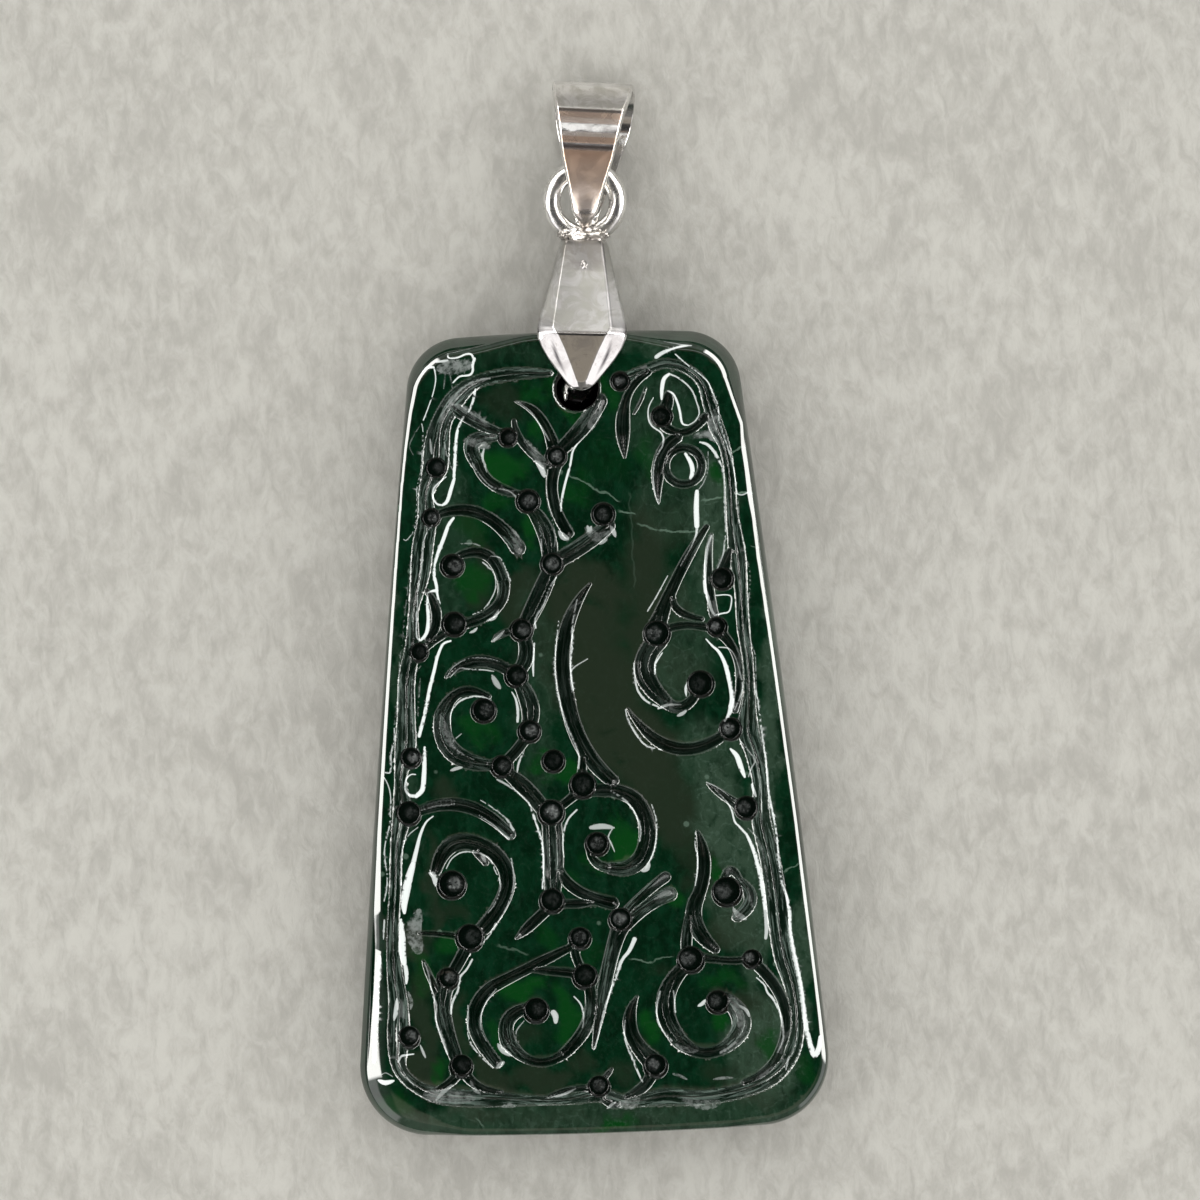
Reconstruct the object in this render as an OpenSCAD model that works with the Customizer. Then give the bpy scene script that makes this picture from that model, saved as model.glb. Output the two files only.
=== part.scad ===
// Carved jadeite plaque pendant, lying face up on its back: a tapered plaque with scroll carving,
// a pinch bail with a soldered ring, and a hanging bail linked through that ring.
// Millimetres. +Y runs from the plaque's bottom edge to the hanging bail, +Z is up.

/* [Plaque] */
// Length of the plaque along its axis
plaque_l = 42; // [40:0.5:45]
// Width at the bottom edge, if the sides ran on without round corners
bottom_w = 25.4; // [25.2:0.1:26.4]
// Width at the top edge, if the sides ran on without round corners
top_w = 16.9; // [16.7:0.1:17.8]
// Thickness of the plaque
plaque_t = 4.5; // [4.2:0.1:5.5]
// Radius of the two bottom corners
bottom_r = 3.6; // [3:0.1:4]
// Radius of the two top corners
top_r = 2.9; // [2.4:0.1:3.2]
// How far each edge bows outward at its middle
bow = 0.15; // [0:0.05:0.25]
// Radius of the polished rim round the front
front_rim_r = 1.3; // [1:0.1:1.6]
// Radius of the rim round the back
back_rim_r = 1; // [0.6:0.1:1.4]

/* [Hole] */
// Radius of the hole for the pinch bail
hole_r = 1.2; // [1.1:0.05:1.4]
// How far the hole lies to the right of the axis
hole_x = 0.17; // [0:0.01:0.25]
// Height of the hole above the plaque's bottom edge, on a 42 mm plaque
hole_y = 39; // [38.9:0.05:39.2]

/* [Carving] */
// Depth of the widest cuts
cut_depth = 0.62; // [0.4:0.02:0.8]
// Depth of a cut for each millimetre of its width
cut_steepness = 0.95; // [0.7:0.05:1.2]
// Depth of the drilled pits
pit_depth = 0.95; // [0.8:0.05:1.2]

/* [Pinch bail] */
// Radius of the pegs inside the hole
peg_r = 0.42; // [0.3:0.02:0.44]
// Length of each peg below its leaf
peg_l = 1.3; // [0.8:0.1:1.8]
// Clearance between each leaf and the plaque
leaf_gap = 0.06; // [0.05:0.01:0.1]
// Thickness of a leaf along its crest
leaf_t = 0.95; // [0.8:0.05:1.1]
// Lean of the pinch bail in the plane of the plaque, in degrees
clip_lean = 2.9; // [2:0.1:3.2]

/* [Ring] */
// Outer diameter of the soldered ring
ring_od = 4.45; // [4.4:0.05:4.6]
// Diameter of the ring's wire
ring_wire = 1; // [0.9:0.02:1]

/* [Hanging bail] */
// Length of the tapered loop
loop_l = 8; // [7.9:0.05:8.2]
// Outer radius of the loop's wide end
loop_r = 2.2; // [2.15:0.01:2.25]
// Outer radius of the fold at its narrow end
fold_r = 0.65; // [0.62:0.01:0.68]
// Thickness of its strip
loop_t = 0.5; // [0.4:0.02:0.52]
// Lean of the loop in the plane of the plaque, in degrees
loop_lean = 4.5; // [3:0.1:5]
// How far the loop has slid to the right on the ring
loop_slid = 0.1; // [0:0.02:0.2]

/* [Hidden] */
$fn = 48;

// The carving is charted on a plaque of this length, x from its axis and y from its bottom edge.
CHART_L = 42;
scale_k = plaque_l / CHART_L;

// Channel between the rim and the scrolls, one row a section, from the top left round to the top right
// x, y, width
CHANNEL = [
    [-1.2, 39.85, 0.3], [-3.2, 39.85, 0.6], [-5.0, 39.5, 0.6], [-6.1, 38.7, 0.9], [-6.9, 37.5, 0.95],
    [-7.2, 36.3, 1.2], [-7.35, 35.1, 1.2], [-7.85, 33.8, 0.7], [-7.85, 32.4, 0.9], [-8.1, 31.0, 1.0],
    [-8.3, 29.5, 0.9], [-8.7, 27.6, 0.45], [-8.8, 25.8, 0.7], [-9.15, 24.2, 0.8], [-9.25, 22.2, 0.85],
    [-9.35, 20.4, 1.0], [-9.65, 18.9, 0.55], [-9.6, 17.2, 0.9], [-9.95, 15.4, 0.6], [-10.1, 13.2, 0.55],
    [-10.3, 11.0, 0.6], [-10.3, 9.0, 0.75], [-10.15, 7.2, 0.95], [-10.2, 5.4, 1.1], [-10.2, 3.9, 0.7],
    [-9.4, 2.9, 0.6], [-8.0, 2.3, 0.8], [-5.8, 2.1, 0.8], [-3.6, 1.95, 0.5], [-1.6, 1.9, 0.45],
    [0.2, 2.1, 0.7], [1.8, 1.7, 0.5], [3.6, 1.9, 0.8], [5.6, 1.8, 0.7], [7.6, 2.1, 0.7],
    [9.3, 2.8, 0.8], [10.35, 4.0, 0.7], [10.65, 5.6, 0.7], [10.5, 7.4, 0.8], [10.1, 9.0, 1.0],
    [9.85, 10.8, 1.0], [9.7, 12.6, 1.0], [9.45, 14.4, 0.95], [9.1, 16.2, 0.9], [9.1, 18.0, 0.7],
    [8.9, 19.6, 0.9], [8.55, 21.0, 1.0], [8.65, 22.6, 0.6], [8.65, 24.4, 0.5], [8.45, 26.4, 0.6],
    [8.4, 28.2, 0.6], [8.25, 30.2, 0.8], [8.05, 32.2, 0.55], [8.0, 34.0, 0.5], [7.8, 35.6, 0.5],
    [7.4, 36.7, 0.7], [7.05, 37.9, 0.6], [6.7, 39.1, 0.5], [5.9, 39.85, 0.45], [4.8, 40.15, 0.45],
    [3.7, 39.85, 0.45], [2.6, 39.4, 0.5]
];

// Cuts of the scrollwork, one row a stroke of the wheel
// start x, y, middle x, y, end x, y, width at the start, the middle and the end
CUTS = [
    [-6.3, 38.2, -5.3, 37.5, -4.0, 36.8, 0.6, 0.5, 0.5],
    [-4.2, 36.6, -5.35, 36.3, -5.05, 35.2, 0.4, 0.7, 0.6],
    [-5.05, 35.2, -4.4, 34.2, -3.0, 33.6, 0.6, 0.5, 0.3],
    [-3.0, 38.4, -1.85, 37.65, -1.15, 36.1, 0.08, 0.4, 0.6],
    [-3.15, 37.4, -2.7, 36.2, -1.5, 35.1, 0.2, 0.35, 0.5],
    [1.3, 38.3, 0.5, 37.1, -0.7, 35.9, 0.75, 0.75, 0.6],
    [-1.0, 35.2, -1.25, 33.4, -0.5, 31.5, 0.6, 0.5, 0.5],
    [-2.4, 32.8, -1.7, 31.6, -1.5, 30.2, 0.5, 0.8, 0.7],
    [1.6, 31.8, 0.4, 30.95, -1.2, 30.0, 0.6, 0.75, 0.7],
    [-1.5, 29.6, -2.15, 28.2, -2.9, 26.8, 0.7, 0.85, 0.7],
    [-3.0, 26.2, -2.9, 25.2, -3.3, 24.4, 0.6, 0.7, 0.6],
    [-4.6, 26.0, -4.1, 26.35, -3.5, 26.5, 0.1, 0.3, 0.3],
    [-3.3, 23.8, -2.8, 22.6, -2.85, 21.6, 0.6, 0.85, 0.7],
    [-3.05, 20.9, -3.5, 20.3, -4.1, 19.7, 0.5, 0.5, 0.5],
    [-4.1, 19.1, -3.1, 18.2, -2.3, 17.2, 0.5, 0.75, 0.7],
    [-1.85, 16.6, -1.8, 14.7, -1.9, 12.7, 0.9, 0.95, 0.7],
    [-0.4, 18.0, -1.0, 17.5, -1.6, 17.1, 0.5, 0.4, 0.4],
    [0.55, 28.8, -0.85, 26.1, -0.8, 22.8, 0.12, 0.65, 0.7],
    [-0.8, 22.8, -0.1, 20.4, 1.4, 18.5, 0.7, 0.75, 0.6],
    [0.0, 19.9, -0.15, 19.3, -0.15, 18.8, 0.3, 0.4, 0.5],
    [0.3, 18.0, 2.4, 17.6, 3.15, 15.8, 0.5, 0.7, 0.8],
    [3.15, 15.8, 2.6, 14.25, 1.2, 13.95, 0.8, 0.8, 0.55],
    [1.2, 13.95, 0.5, 14.2, 0.1, 14.8, 0.5, 0.4, 0.3],
    [-1.6, 14.0, -0.6, 12.85, 1.2, 12.1, 0.5, 0.5, 0.6],
    [-1.6, 12.2, -0.7, 12.15, 0.3, 12.2, 0.4, 0.4, 0.2],
    [-2.2, 11.9, -3.0, 11.2, -3.85, 10.45, 0.5, 0.5, 0.12],
    [-9.0, 17.1, -6.4, 17.45, -4.0, 15.85, 0.4, 0.6, 0.45],
    [-7.95, 14.1, -6.9, 15.5, -5.1, 15.1, 0.5, 0.75, 0.7],
    [-5.1, 15.1, -4.25, 13.3, -5.6, 11.0, 0.7, 0.7, 0.7],
    [-5.9, 15.0, -5.65, 14.8, -5.35, 14.45, 0.15, 0.3, 0.3],
    [-6.4, 10.2, -6.9, 9.3, -7.3, 8.7, 0.6, 0.55, 0.5],
    [-8.9, 10.85, -8.0, 10.8, -7.0, 10.65, 0.15, 0.25, 0.3],
    [-7.6, 8.2, -7.8, 6.6, -7.2, 4.3, 0.9, 0.75, 0.6],
    [-8.75, 9.4, -8.4, 8.5, -8.0, 7.6, 0.12, 0.3, 0.4],
    [-7.1, 3.5, -7.7, 2.9, -8.6, 2.5, 0.5, 0.4, 0.2],
    [-6.7, 3.4, -6.0, 2.7, -4.9, 2.4, 0.5, 0.4, 0.2],
    [-0.9, 9.95, -3.1, 8.95, -5.2, 7.95, 0.3, 0.5, 0.6],
    [-5.2, 7.95, -6.2, 6.2, -5.1, 3.95, 0.6, 0.65, 0.5],
    [-0.15, 7.9, -0.25, 6.0, -1.6, 4.3, 0.5, 0.6, 0.5],
    [-1.6, 4.3, -3.1, 3.95, -4.45, 5.0, 0.45, 0.4, 0.75],
    [-4.45, 5.0, -4.4, 6.2, -3.3, 6.8, 0.75, 0.65, 0.45],
    [-0.8, 8.5, -1.9, 8.65, -3.2, 8.8, 0.45, 0.4, 0.2],
    [-0.85, 9.8, -0.75, 9.3, -0.55, 8.8, 0.4, 0.4, 0.4],
    [1.6, 10.9, 0.85, 8.6, 0.0, 4.6, 0.85, 0.65, 0.12],
    [1.9, 11.6, 2.9, 12.55, 4.0, 13.4, 0.5, 0.45, 0.5],
    [1.9, 11.0, 3.0, 11.9, 4.2, 12.5, 0.6, 0.6, 0.7],
    [-0.2, 2.4, -1.2, 2.45, -2.6, 2.05, 0.4, 0.3, 0.1],
    [0.4, 2.9, 0.65, 3.15, 0.9, 3.45, 0.3, 0.25, 0.12],
    [0.3, 2.1, 0.7, 1.65, 1.2, 1.5, 0.4, 0.3, 0.2],
    [2.35, 7.2, 1.95, 5.5, 3.0, 3.8, 0.1, 0.65, 0.9],
    [3.0, 3.2, 2.5, 2.45, 1.6, 1.95, 0.6, 0.5, 0.3],
    [4.8, 8.6, 3.8, 6.8, 4.5, 4.8, 0.6, 0.85, 0.75],
    [4.5, 4.8, 5.7, 4.15, 7.0, 4.5, 0.75, 0.5, 0.6],
    [7.0, 4.5, 7.75, 5.7, 6.95, 6.95, 0.6, 0.9, 0.6],
    [8.7, 8.6, 10.0, 6.5, 9.8, 4.4, 0.5, 0.5, 0.4],
    [9.8, 4.4, 9.1, 3.2, 7.8, 2.5, 0.4, 0.5, 0.35],
    [5.8, 9.15, 7.0, 8.95, 8.0, 8.95, 0.4, 0.3, 0.35],
    [5.75, 15.75, 6.05, 14.0, 5.65, 12.3, 0.1, 0.6, 0.6],
    [5.65, 12.3, 5.5, 10.9, 6.5, 9.55, 0.65, 0.75, 0.4],
    [5.0, 9.5, 5.05, 10.4, 5.3, 11.4, 0.5, 0.5, 0.5],
    [7.9, 13.1, 8.4, 12.1, 7.7, 11.2, 0.3, 0.6, 0.5],
    [7.0, 13.1, 7.4, 13.65, 7.85, 13.2, 0.3, 0.4, 0.3],
    [6.35, 18.2, 7.2, 17.55, 8.1, 16.9, 0.08, 0.4, 0.6],
    [7.3, 20.75, 4.6, 20.15, 2.3, 22.25, 0.5, 0.6, 0.08],
    [3.95, 25.7, 3.25, 24.2, 4.3, 22.55, 0.9, 0.95, 0.6],
    [4.3, 22.55, 5.1, 22.25, 5.9, 22.9, 0.6, 0.5, 0.4],
    [4.4, 26.3, 5.5, 26.5, 6.8, 26.3, 0.4, 0.35, 0.4],
    [6.7, 31.6, 5.2, 29.2, 4.0, 26.6, 0.25, 0.5, 0.85],
    [4.8, 28.2, 5.1, 27.3, 6.3, 26.8, 0.3, 0.35, 0.25],
    [6.95, 31.2, 6.75, 29.4, 6.95, 27.0, 0.12, 0.35, 0.4],
    [7.9, 30.3, 7.55, 29.5, 7.45, 28.9, 0.3, 0.6, 0.7],
    [7.2, 26.1, 8.15, 24.4, 7.9, 22.0, 0.5, 0.35, 0.3],
    [-6.2, 30.5, -4.75, 30.45, -3.95, 29.0, 0.35, 0.5, 0.55],
    [-3.95, 29.0, -4.4, 27.7, -6.0, 26.95, 0.55, 0.5, 0.45],
    [-7.4, 32.6, -5.1, 32.65, -3.15, 30.8, 0.35, 0.55, 0.7],
    [-7.95, 28.7, -7.5, 27.4, -7.9, 26.2, 0.2, 0.45, 0.4],
    [-8.3, 25.7, -7.6, 26.15, -6.9, 26.6, 0.5, 0.35, 0.45],
    [-7.1, 24.2, -5.5, 24.95, -3.8, 24.4, 0.12, 0.55, 0.5],
    [-4.9, 23.1, -6.4, 23.35, -7.35, 22.2, 0.2, 0.45, 0.75],
    [-7.35, 22.2, -6.9, 20.3, -4.8, 19.5, 0.75, 0.85, 0.45],
    [3.75, 38.9, 3.45, 38.2, 3.1, 37.6, 0.08, 0.12, 0.08],
    [3.9, 39.75, 3.0, 38.9, 2.6, 37.8, 0.35, 0.35, 0.5],
    [2.6, 37.8, 2.5, 36.9, 2.55, 35.35, 0.5, 0.65, 0.1],
    [4.6, 37.6, 4.85, 38.1, 4.9, 38.7, 0.7, 0.55, 0.12],
    [4.7, 36.9, 5.7, 36.55, 6.8, 37.3, 0.45, 0.35, 0.4],
    [5.3, 36.3, 4.4, 35.1, 4.25, 32.95, 0.5, 0.65, 0.08]
];

// Pits drilled in the carving
// x, y, radius
PITS = [
    [-3.5, 36.55, 0.5], [-1.0, 35.5, 0.55], [-2.55, 33.2, 0.62], [-7.3, 35.1, 0.55], [-7.65, 32.5, 0.5],
    [2.45, 39.3, 0.5], [4.55, 37.4, 0.55], [1.35, 32.4, 0.6], [-6.6, 29.95, 0.62], [-6.6, 26.9, 0.65],
    [-1.4, 29.9, 0.6], [-8.5, 25.5, 0.5], [-3.1, 26.5, 0.6], [-3.45, 24.1, 0.6], [-5.2, 22.35, 0.65],
    [-2.85, 21.2, 0.6], [7.45, 28.85, 0.6], [3.95, 26.1, 0.7], [7.1, 26.35, 0.52], [6.15, 23.4, 0.7],
    [-9.1, 20.0, 0.55], [-4.35, 19.4, 0.58], [-1.65, 19.6, 0.6], [-0.15, 18.3, 0.7], [-9.3, 17.1, 0.65],
    [-1.85, 16.9, 0.7], [-7.15, 13.3, 0.75], [-1.95, 12.3, 0.65], [7.65, 21.0, 0.6], [8.35, 16.85, 0.62],
    [0.5, 15.2, 0.62], [7.2, 12.5, 0.78], [1.6, 11.2, 0.62], [-6.3, 10.5, 0.72], [-7.5, 8.4, 0.58],
    [-9.65, 5.4, 0.58], [-2.95, 6.6, 0.66], [-6.95, 3.8, 0.6], [-0.55, 10.3, 0.58], [-0.35, 8.3, 0.65],
    [5.2, 9.0, 0.7], [8.4, 8.95, 0.5], [6.55, 6.75, 0.62], [3.2, 3.5, 0.62], [0.2, 2.5, 0.58]
];

// Round groove that leaves a boss like an eye: x, y, radius, width
EYE = [5.6, 34.8, 0.95, 0.38];
// Longest straight step along a cut
STEP_LENGTH = 1.1;

// Sections of a leaf of the pinch bail
// distance up from the peg, half width, half width of the middle facet, thickness, thickness at its edge
TIP = [-0.72, 0.24, 0.1, 0.36, 0.3];
POINT = [-0.45, 0.72, 0.25, 0.46, 0.3];
BLADE = [1.3, 2.12, 0.95, 0.82, 0.3];
CREST = [2.25, 2.34, 1.45, leaf_t, 0.35];
NECK = [7.1, 1.25, 0.95, 1.25, 0.7];
// Where the middle of the peg stands, from the plaque's bottom centre
PEG = [0.42, hole_y * scale_k + 0.65];

// Half widths of the hanging bail, from its wide end to its fold
// distance from the end, half width
LOOP_WIDTHS = [[-0.2, 2.2], [1.65, 1.93], [4.8, 1.35], [6.15, 0.9], [6.95, 0.58], [7.6, 0.36], [8.2, 0.16]];
// Clearance between the hanging bail and the ring's wire, and above the surface
LINK_GAP = 0.08;
FLOOR_GAP = 0.03;

taper = atan((bottom_w - top_w) / 2 / plaque_l);
ring_r = (ring_od - ring_wire) / 2;
ring_up = NECK[0] - 0.155 + ring_od / 2;
wire_up = ring_up + ring_r;

// Lying: the back leaf's crest and the back of the bottom edge both touch the surface
crest_y = PEG.y + CREST[0] * cos(clip_lean) - CREST[2] * sin(clip_lean);
lie_angle = atan((leaf_gap + leaf_t) / (crest_y - back_rim_r));
lie_rise = -back_rim_r * sin(lie_angle);

// Hanging bail: its wide end rests on the surface, and its upper strip on the ring's wire
wire_x = PEG.x + wire_up * sin(clip_lean);
wire_y = PEG.y + wire_up * cos(clip_lean);
wire_h = wire_y * sin(lie_angle) + plaque_t / 2 * cos(lie_angle) + lie_rise;
wire_flat_y = wire_y * cos(lie_angle) - plaque_t / 2 * sin(lie_angle);
loop_d = loop_l - loop_r - fold_r;
loop_taper = asin((loop_r - fold_r) / loop_d);
// Distance from the centre of the wide end to the wire, along the loop and across it
wire_along = 2.72;
wire_across = (loop_r - loop_t - wire_along * sin(loop_taper) - ring_wire / 2 - LINK_GAP) / cos(loop_taper);
reach = norm([wire_along, wire_across]);
wire_angle = atan(wire_across / wire_along);
droop = asin((wire_h - loop_r - FLOOR_GAP) / reach) - wire_angle;
flat_reach = reach * cos(droop + wire_angle);
loop_x = wire_x + loop_slid + flat_reach * sin(loop_lean);
loop_y = wire_flat_y + flat_reach * cos(loop_lean);
// Overall length, from the plaque's bottom edge to the left corner of the hanging bail's wide end
corner_w = lookup(loop_r * (1 - cos(droop)), LOOP_WIDTHS);
front_y = -(plaque_t - front_rim_r) * sin(lie_angle);
end_y = loop_y + loop_r * cos(loop_lean) + corner_w * sin(loop_lean);
mid_y = (front_y + end_y) / 2;

function arc(cx, cy, r, a0, a1, n) =
    [for (i = [0:n]) let (a = a0 + (a1 - a0) * i / n) [cx + r * cos(a), cy + r * sin(a)]];

// Points between p and q on an edge that bows outward
function bowed(p, q, n) =
    let (d = q - p, out = [d.y, -d.x] / norm(d))
    [for (i = [1:n - 1]) let (t = i / n) p + d * t + out * bow * 4 * t * (1 - t)];

// Plaque's outline moved inward by an inset, anticlockwise from the bottom right corner
function outline(inset) =
    let (
        side = bottom_w / 2 * cos(taper) - inset,
        low = bow + inset,
        high = plaque_l - bow - inset,
        rb = bottom_r - inset,
        rt = top_r - inset,
        xb = (side - rb - (low + rb) * sin(taper)) / cos(taper),
        xt = (side - rt - (high - rt) * sin(taper)) / cos(taper),
        br = arc(xb, low + rb, rb, -90, taper, 6),
        tr = arc(xt, high - rt, rt, taper, 90, 6),
        tl = arc(-xt, high - rt, rt, 90, 180 - taper, 6),
        bl = arc(-xb, low + rb, rb, 180 - taper, 270, 6)
    )
    concat(br, bowed(br[6], tr[0], 6), tr, bowed(tr[6], tl[0], 4), tl, bowed(tl[6], bl[0], 6), bl,
           bowed(bl[6], br[0], 4));

// Inset and height of the rim's rings, from the back to the front
RIM = concat(
    [for (a = [0, 30, 60, 90]) [back_rim_r * (1 - sin(a)), back_rim_r * (1 - cos(a))]],
    [for (a = [0, 22, 45, 67, 90]) [front_rim_r * (1 - cos(a)), plaque_t - front_rim_r * (1 - sin(a))]]
);

// Curve through three points, with its width: [x, y, width] at t from 0 to 1
function stroke(row, t) =
    let (
        a = (1 - t) * (1 - 2 * t),
        b = 4 * t * (1 - t),
        c = t * (2 * t - 1),
        end_w = t < 0.5 ? row[6] : row[8],
        near = 1 - pow(1 - 2 * t, 2)
    )
    [a * row[0] + b * row[2] + c * row[4], a * row[1] + b * row[3] + c * row[5],
     end_w + (row[7] - end_w) * near];

function cut_path(row) =
    let (n = max(3, ceil(norm([row[4] - row[0], row[5] - row[1]]) / STEP_LENGTH)))
    [for (i = [0:n]) stroke(row, i / n)];

// Smooth curve through the rows of a table, with n steps from each row to the next
function smooth(rows, n) =
    let (last = len(rows) - 1)
    concat([for (i = [0:last - 1], k = [0:n - 1])
        let (
            t = k / n,
            p = rows[max(i - 1, 0)], q = rows[i], r = rows[i + 1], s = rows[min(i + 2, last)]
        )
        (2 * q + (r - p) * t + (2 * p - 5 * q + 4 * r - s) * t * t + (3 * q - p - 3 * r + s) * t * t * t) / 2],
        [rows[last]]);

// The wheel's bite at one station: a blunt cone whose depth follows its width
module bite(station) {
    w = station[2] * scale_k;
    depth = min(cut_depth, w * cut_steepness);
    over = 0.2;
    translate([station[0] * scale_k, station[1] * scale_k, plaque_t - depth])
        cylinder(r1 = w * 0.14, r2 = w / 2 + (w * 0.36) * over / depth, h = depth + over, $fn = 6);
}

module groove(path) {
    for (i = [0:len(path) - 2])
        hull() {
            bite(path[i]);
            bite(path[i + 1]);
        }
}

// Blunt drilled pit: a cone below straight walls
module pit(row) {
    r = row[2] * scale_k;
    shoulder = pit_depth * 0.45;
    translate([row[0] * scale_k, row[1] * scale_k, plaque_t - pit_depth])
        rotate_extrude($fn = 9)
            polygon([[0, 0], [r * 0.45, 0], [r, shoulder], [r, 2 * pit_depth], [0, 2 * pit_depth]]);
}

// Plain plaque with its rounded rims, before it is carved
module blank() {
    rings = [for (ring = RIM) [for (p = outline(ring[0])) [p.x, p.y, ring[1]]]];
    m = len(rings[0]);
    last = len(rings) - 1;
    points = [for (ring = rings) for (p = ring) p];
    walls = [for (k = [0:last - 1], i = [0:m - 1])
        let (j = (i + 1) % m)
        [k * m + i, (k + 1) * m + i, (k + 1) * m + j, k * m + j]];
    back = [for (i = [0:m - 1]) i];
    front = [for (i = [m - 1:-1:0]) last * m + i];
    polyhedron(points, concat(walls, [back, front]), convexity = 4);
}

module carving() {
    groove(smooth(CHANNEL, 1));
    for (row = CUTS)
        groove(cut_path(row));
    for (row = PITS)
        pit(row);
    groove([for (p = arc(EYE[0], EYE[1], EYE[2], 0, 360, 14)) [p.x, p.y, EYE[3]]]);
}

// Turns the pendant onto its back leaf and sets the origin below its middle
module lying() {
    translate([0, -mid_y, lie_rise])
        rotate([lie_angle, 0, 0])
            children();
}

module jade_plaque() {
    color("#12371f")
        lying()
            difference() {
                blank();
                carving();
                translate([hole_x, hole_y * scale_k, -1])
                    cylinder(r = hole_r, h = plaque_t + 2, $fn = 24);
            }
}

// Cross section of a leaf at one station: its flat inner face is at height z
module leaf_section(row, z) {
    outer = [[-row[1], 0], [row[1], 0], [row[1], row[4]], [row[2], row[3]], [-row[2], row[3]], [-row[1], row[4]]];
    translate([0, row[0], z])
        rotate([90, 0, 0])
            linear_extrude(height = 0.02, center = true)
                polygon(outer);
}

// One leaf, from the solid neck over its crest to the pointed tip, with its peg
module leaf() {
    face = plaque_t / 2 + leaf_gap;
    hull() {
        leaf_section(NECK, -0.15);
        leaf_section(CREST, face);
    }
    hull() {
        leaf_section(CREST, face);
        leaf_section(BLADE, face);
        leaf_section(POINT, face);
        leaf_section(TIP, face);
    }
    translate([0, 0, face - peg_l])
        cylinder(r = peg_r, h = peg_l + 0.2);
}

module ring() {
    translate([0, ring_up, 0])
        rotate_extrude()
            translate([ring_r, 0])
                circle(d = ring_wire);
}

// Solder that joins the ring to the neck
module solder() {
    translate([0, NECK[0] - 0.2, 0])
        rotate([-90, 0, 0])
            cylinder(r1 = 0.95, r2 = 0.6, h = 0.6);
}

module pinch_bail() {
    color("silver")
        lying()
            translate([PEG.x, PEG.y, plaque_t / 2])
                rotate([0, 0, -clip_lean]) {
                    leaf();
                    mirror([0, 0, 1])
                        leaf();
                    ring();
                    solder();
                }
}

// Side view of the loop's outer or inner face: a wide round end tapering to a small fold
module drop_shape(wide, fold) {
    up = [-sin(loop_taper), cos(loop_taper)];
    down = [up.x, -up.y];
    circle(r = wide);
    translate([-loop_d, 0])
        circle(r = fold);
    polygon([wide * up, [-loop_d, 0] + fold * up, [-loop_d, 0] + fold * down, wide * down]);
}

module hanging_bail() {
    tall = 3 * loop_r;
    right = [for (row = LOOP_WIDTHS) [row[1], loop_r - row[0]]];
    left = [for (i = [len(right) - 1:-1:0]) [-right[i].x, right[i].y]];
    color("silver")
        translate([loop_x, loop_y - mid_y, loop_r + FLOOR_GAP])
            rotate([0, 0, -loop_lean])
                rotate([-droop, 0, 0])
                    intersection() {
                        rotate([90, 0, 90])
                            linear_extrude(height = tall, center = true)
                                difference() {
                                    drop_shape(loop_r, fold_r);
                                    drop_shape(loop_r - loop_t, fold_r - loop_t);
                                }
                        linear_extrude(height = tall, center = true)
                            polygon(concat(right, left));
                    }
}

jade_plaque();
pinch_bail();
hanging_bail();
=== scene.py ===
import math

import bmesh
import bpy
import numpy as np
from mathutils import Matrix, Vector, noise
from mathutils.geometry import delaunay_2d_cdt


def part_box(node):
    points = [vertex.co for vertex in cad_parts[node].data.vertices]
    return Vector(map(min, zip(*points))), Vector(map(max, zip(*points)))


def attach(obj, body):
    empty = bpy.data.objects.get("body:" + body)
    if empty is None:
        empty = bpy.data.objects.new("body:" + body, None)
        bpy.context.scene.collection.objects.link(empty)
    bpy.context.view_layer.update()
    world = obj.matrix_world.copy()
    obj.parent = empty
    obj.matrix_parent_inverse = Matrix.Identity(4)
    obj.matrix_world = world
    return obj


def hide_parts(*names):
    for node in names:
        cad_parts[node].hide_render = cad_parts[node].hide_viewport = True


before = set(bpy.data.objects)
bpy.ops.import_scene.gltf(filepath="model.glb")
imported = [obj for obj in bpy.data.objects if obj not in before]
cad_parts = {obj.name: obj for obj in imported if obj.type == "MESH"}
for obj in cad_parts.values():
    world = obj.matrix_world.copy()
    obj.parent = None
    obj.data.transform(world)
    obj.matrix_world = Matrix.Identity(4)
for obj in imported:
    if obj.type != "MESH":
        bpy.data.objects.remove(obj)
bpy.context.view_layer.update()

# The view
# The pendant lies on a table and is photographed from straight above, close to, with the picture turned a
# little so that the plaque leans to the left. Sizes are in millimetres until a mesh is made.
MM = 0.001
VIEW_WIDTH = 62.5
VIEW_DISTANCE = 260.0
VIEW_CENTRE = (1.04, 0.25, 5.15)
VIEW_TURN = math.radians(-1.76)

camera_data = bpy.data.cameras.new("camera")
camera_data.sensor_width = 36.0
camera_data.lens = camera_data.sensor_width * VIEW_DISTANCE / VIEW_WIDTH
camera_data.clip_start = 0.005
camera_data.clip_end = 10.0
camera = bpy.data.objects.new("camera", camera_data)
camera.location = (VIEW_CENTRE[0] * MM, VIEW_CENTRE[1] * MM, (VIEW_CENTRE[2] + VIEW_DISTANCE) * MM)
camera.rotation_euler = (0, 0, VIEW_TURN)
bpy.context.scene.collection.objects.link(camera)
bpy.context.scene.camera = camera
bpy.context.scene.view_settings.view_transform = "Standard"

# Jade plaque
# One flat slab of dark green jadeite, ground to a tapered outline, its front cut with a wheel in scrolls and
# drilled with pits, then polished. Its back is plain. It lies tilted on the back leaf of the pinch bail.
PLAQUE_L = 42.0
BOTTOM_W = 25.36
TOP_W = 16.9
PLAQUE_T = 4.5
BOTTOM_R = 3.6
TOP_R = 2.9
BOW = 0.15
BACK_RIM = 1.0
HOLE = (0.17, 39.0, 1.2)
LIE_ANGLE = math.radians(1.4172)
TAPER = math.atan((BOTTOM_W - TOP_W) / 2 / PLAQUE_L)

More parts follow.
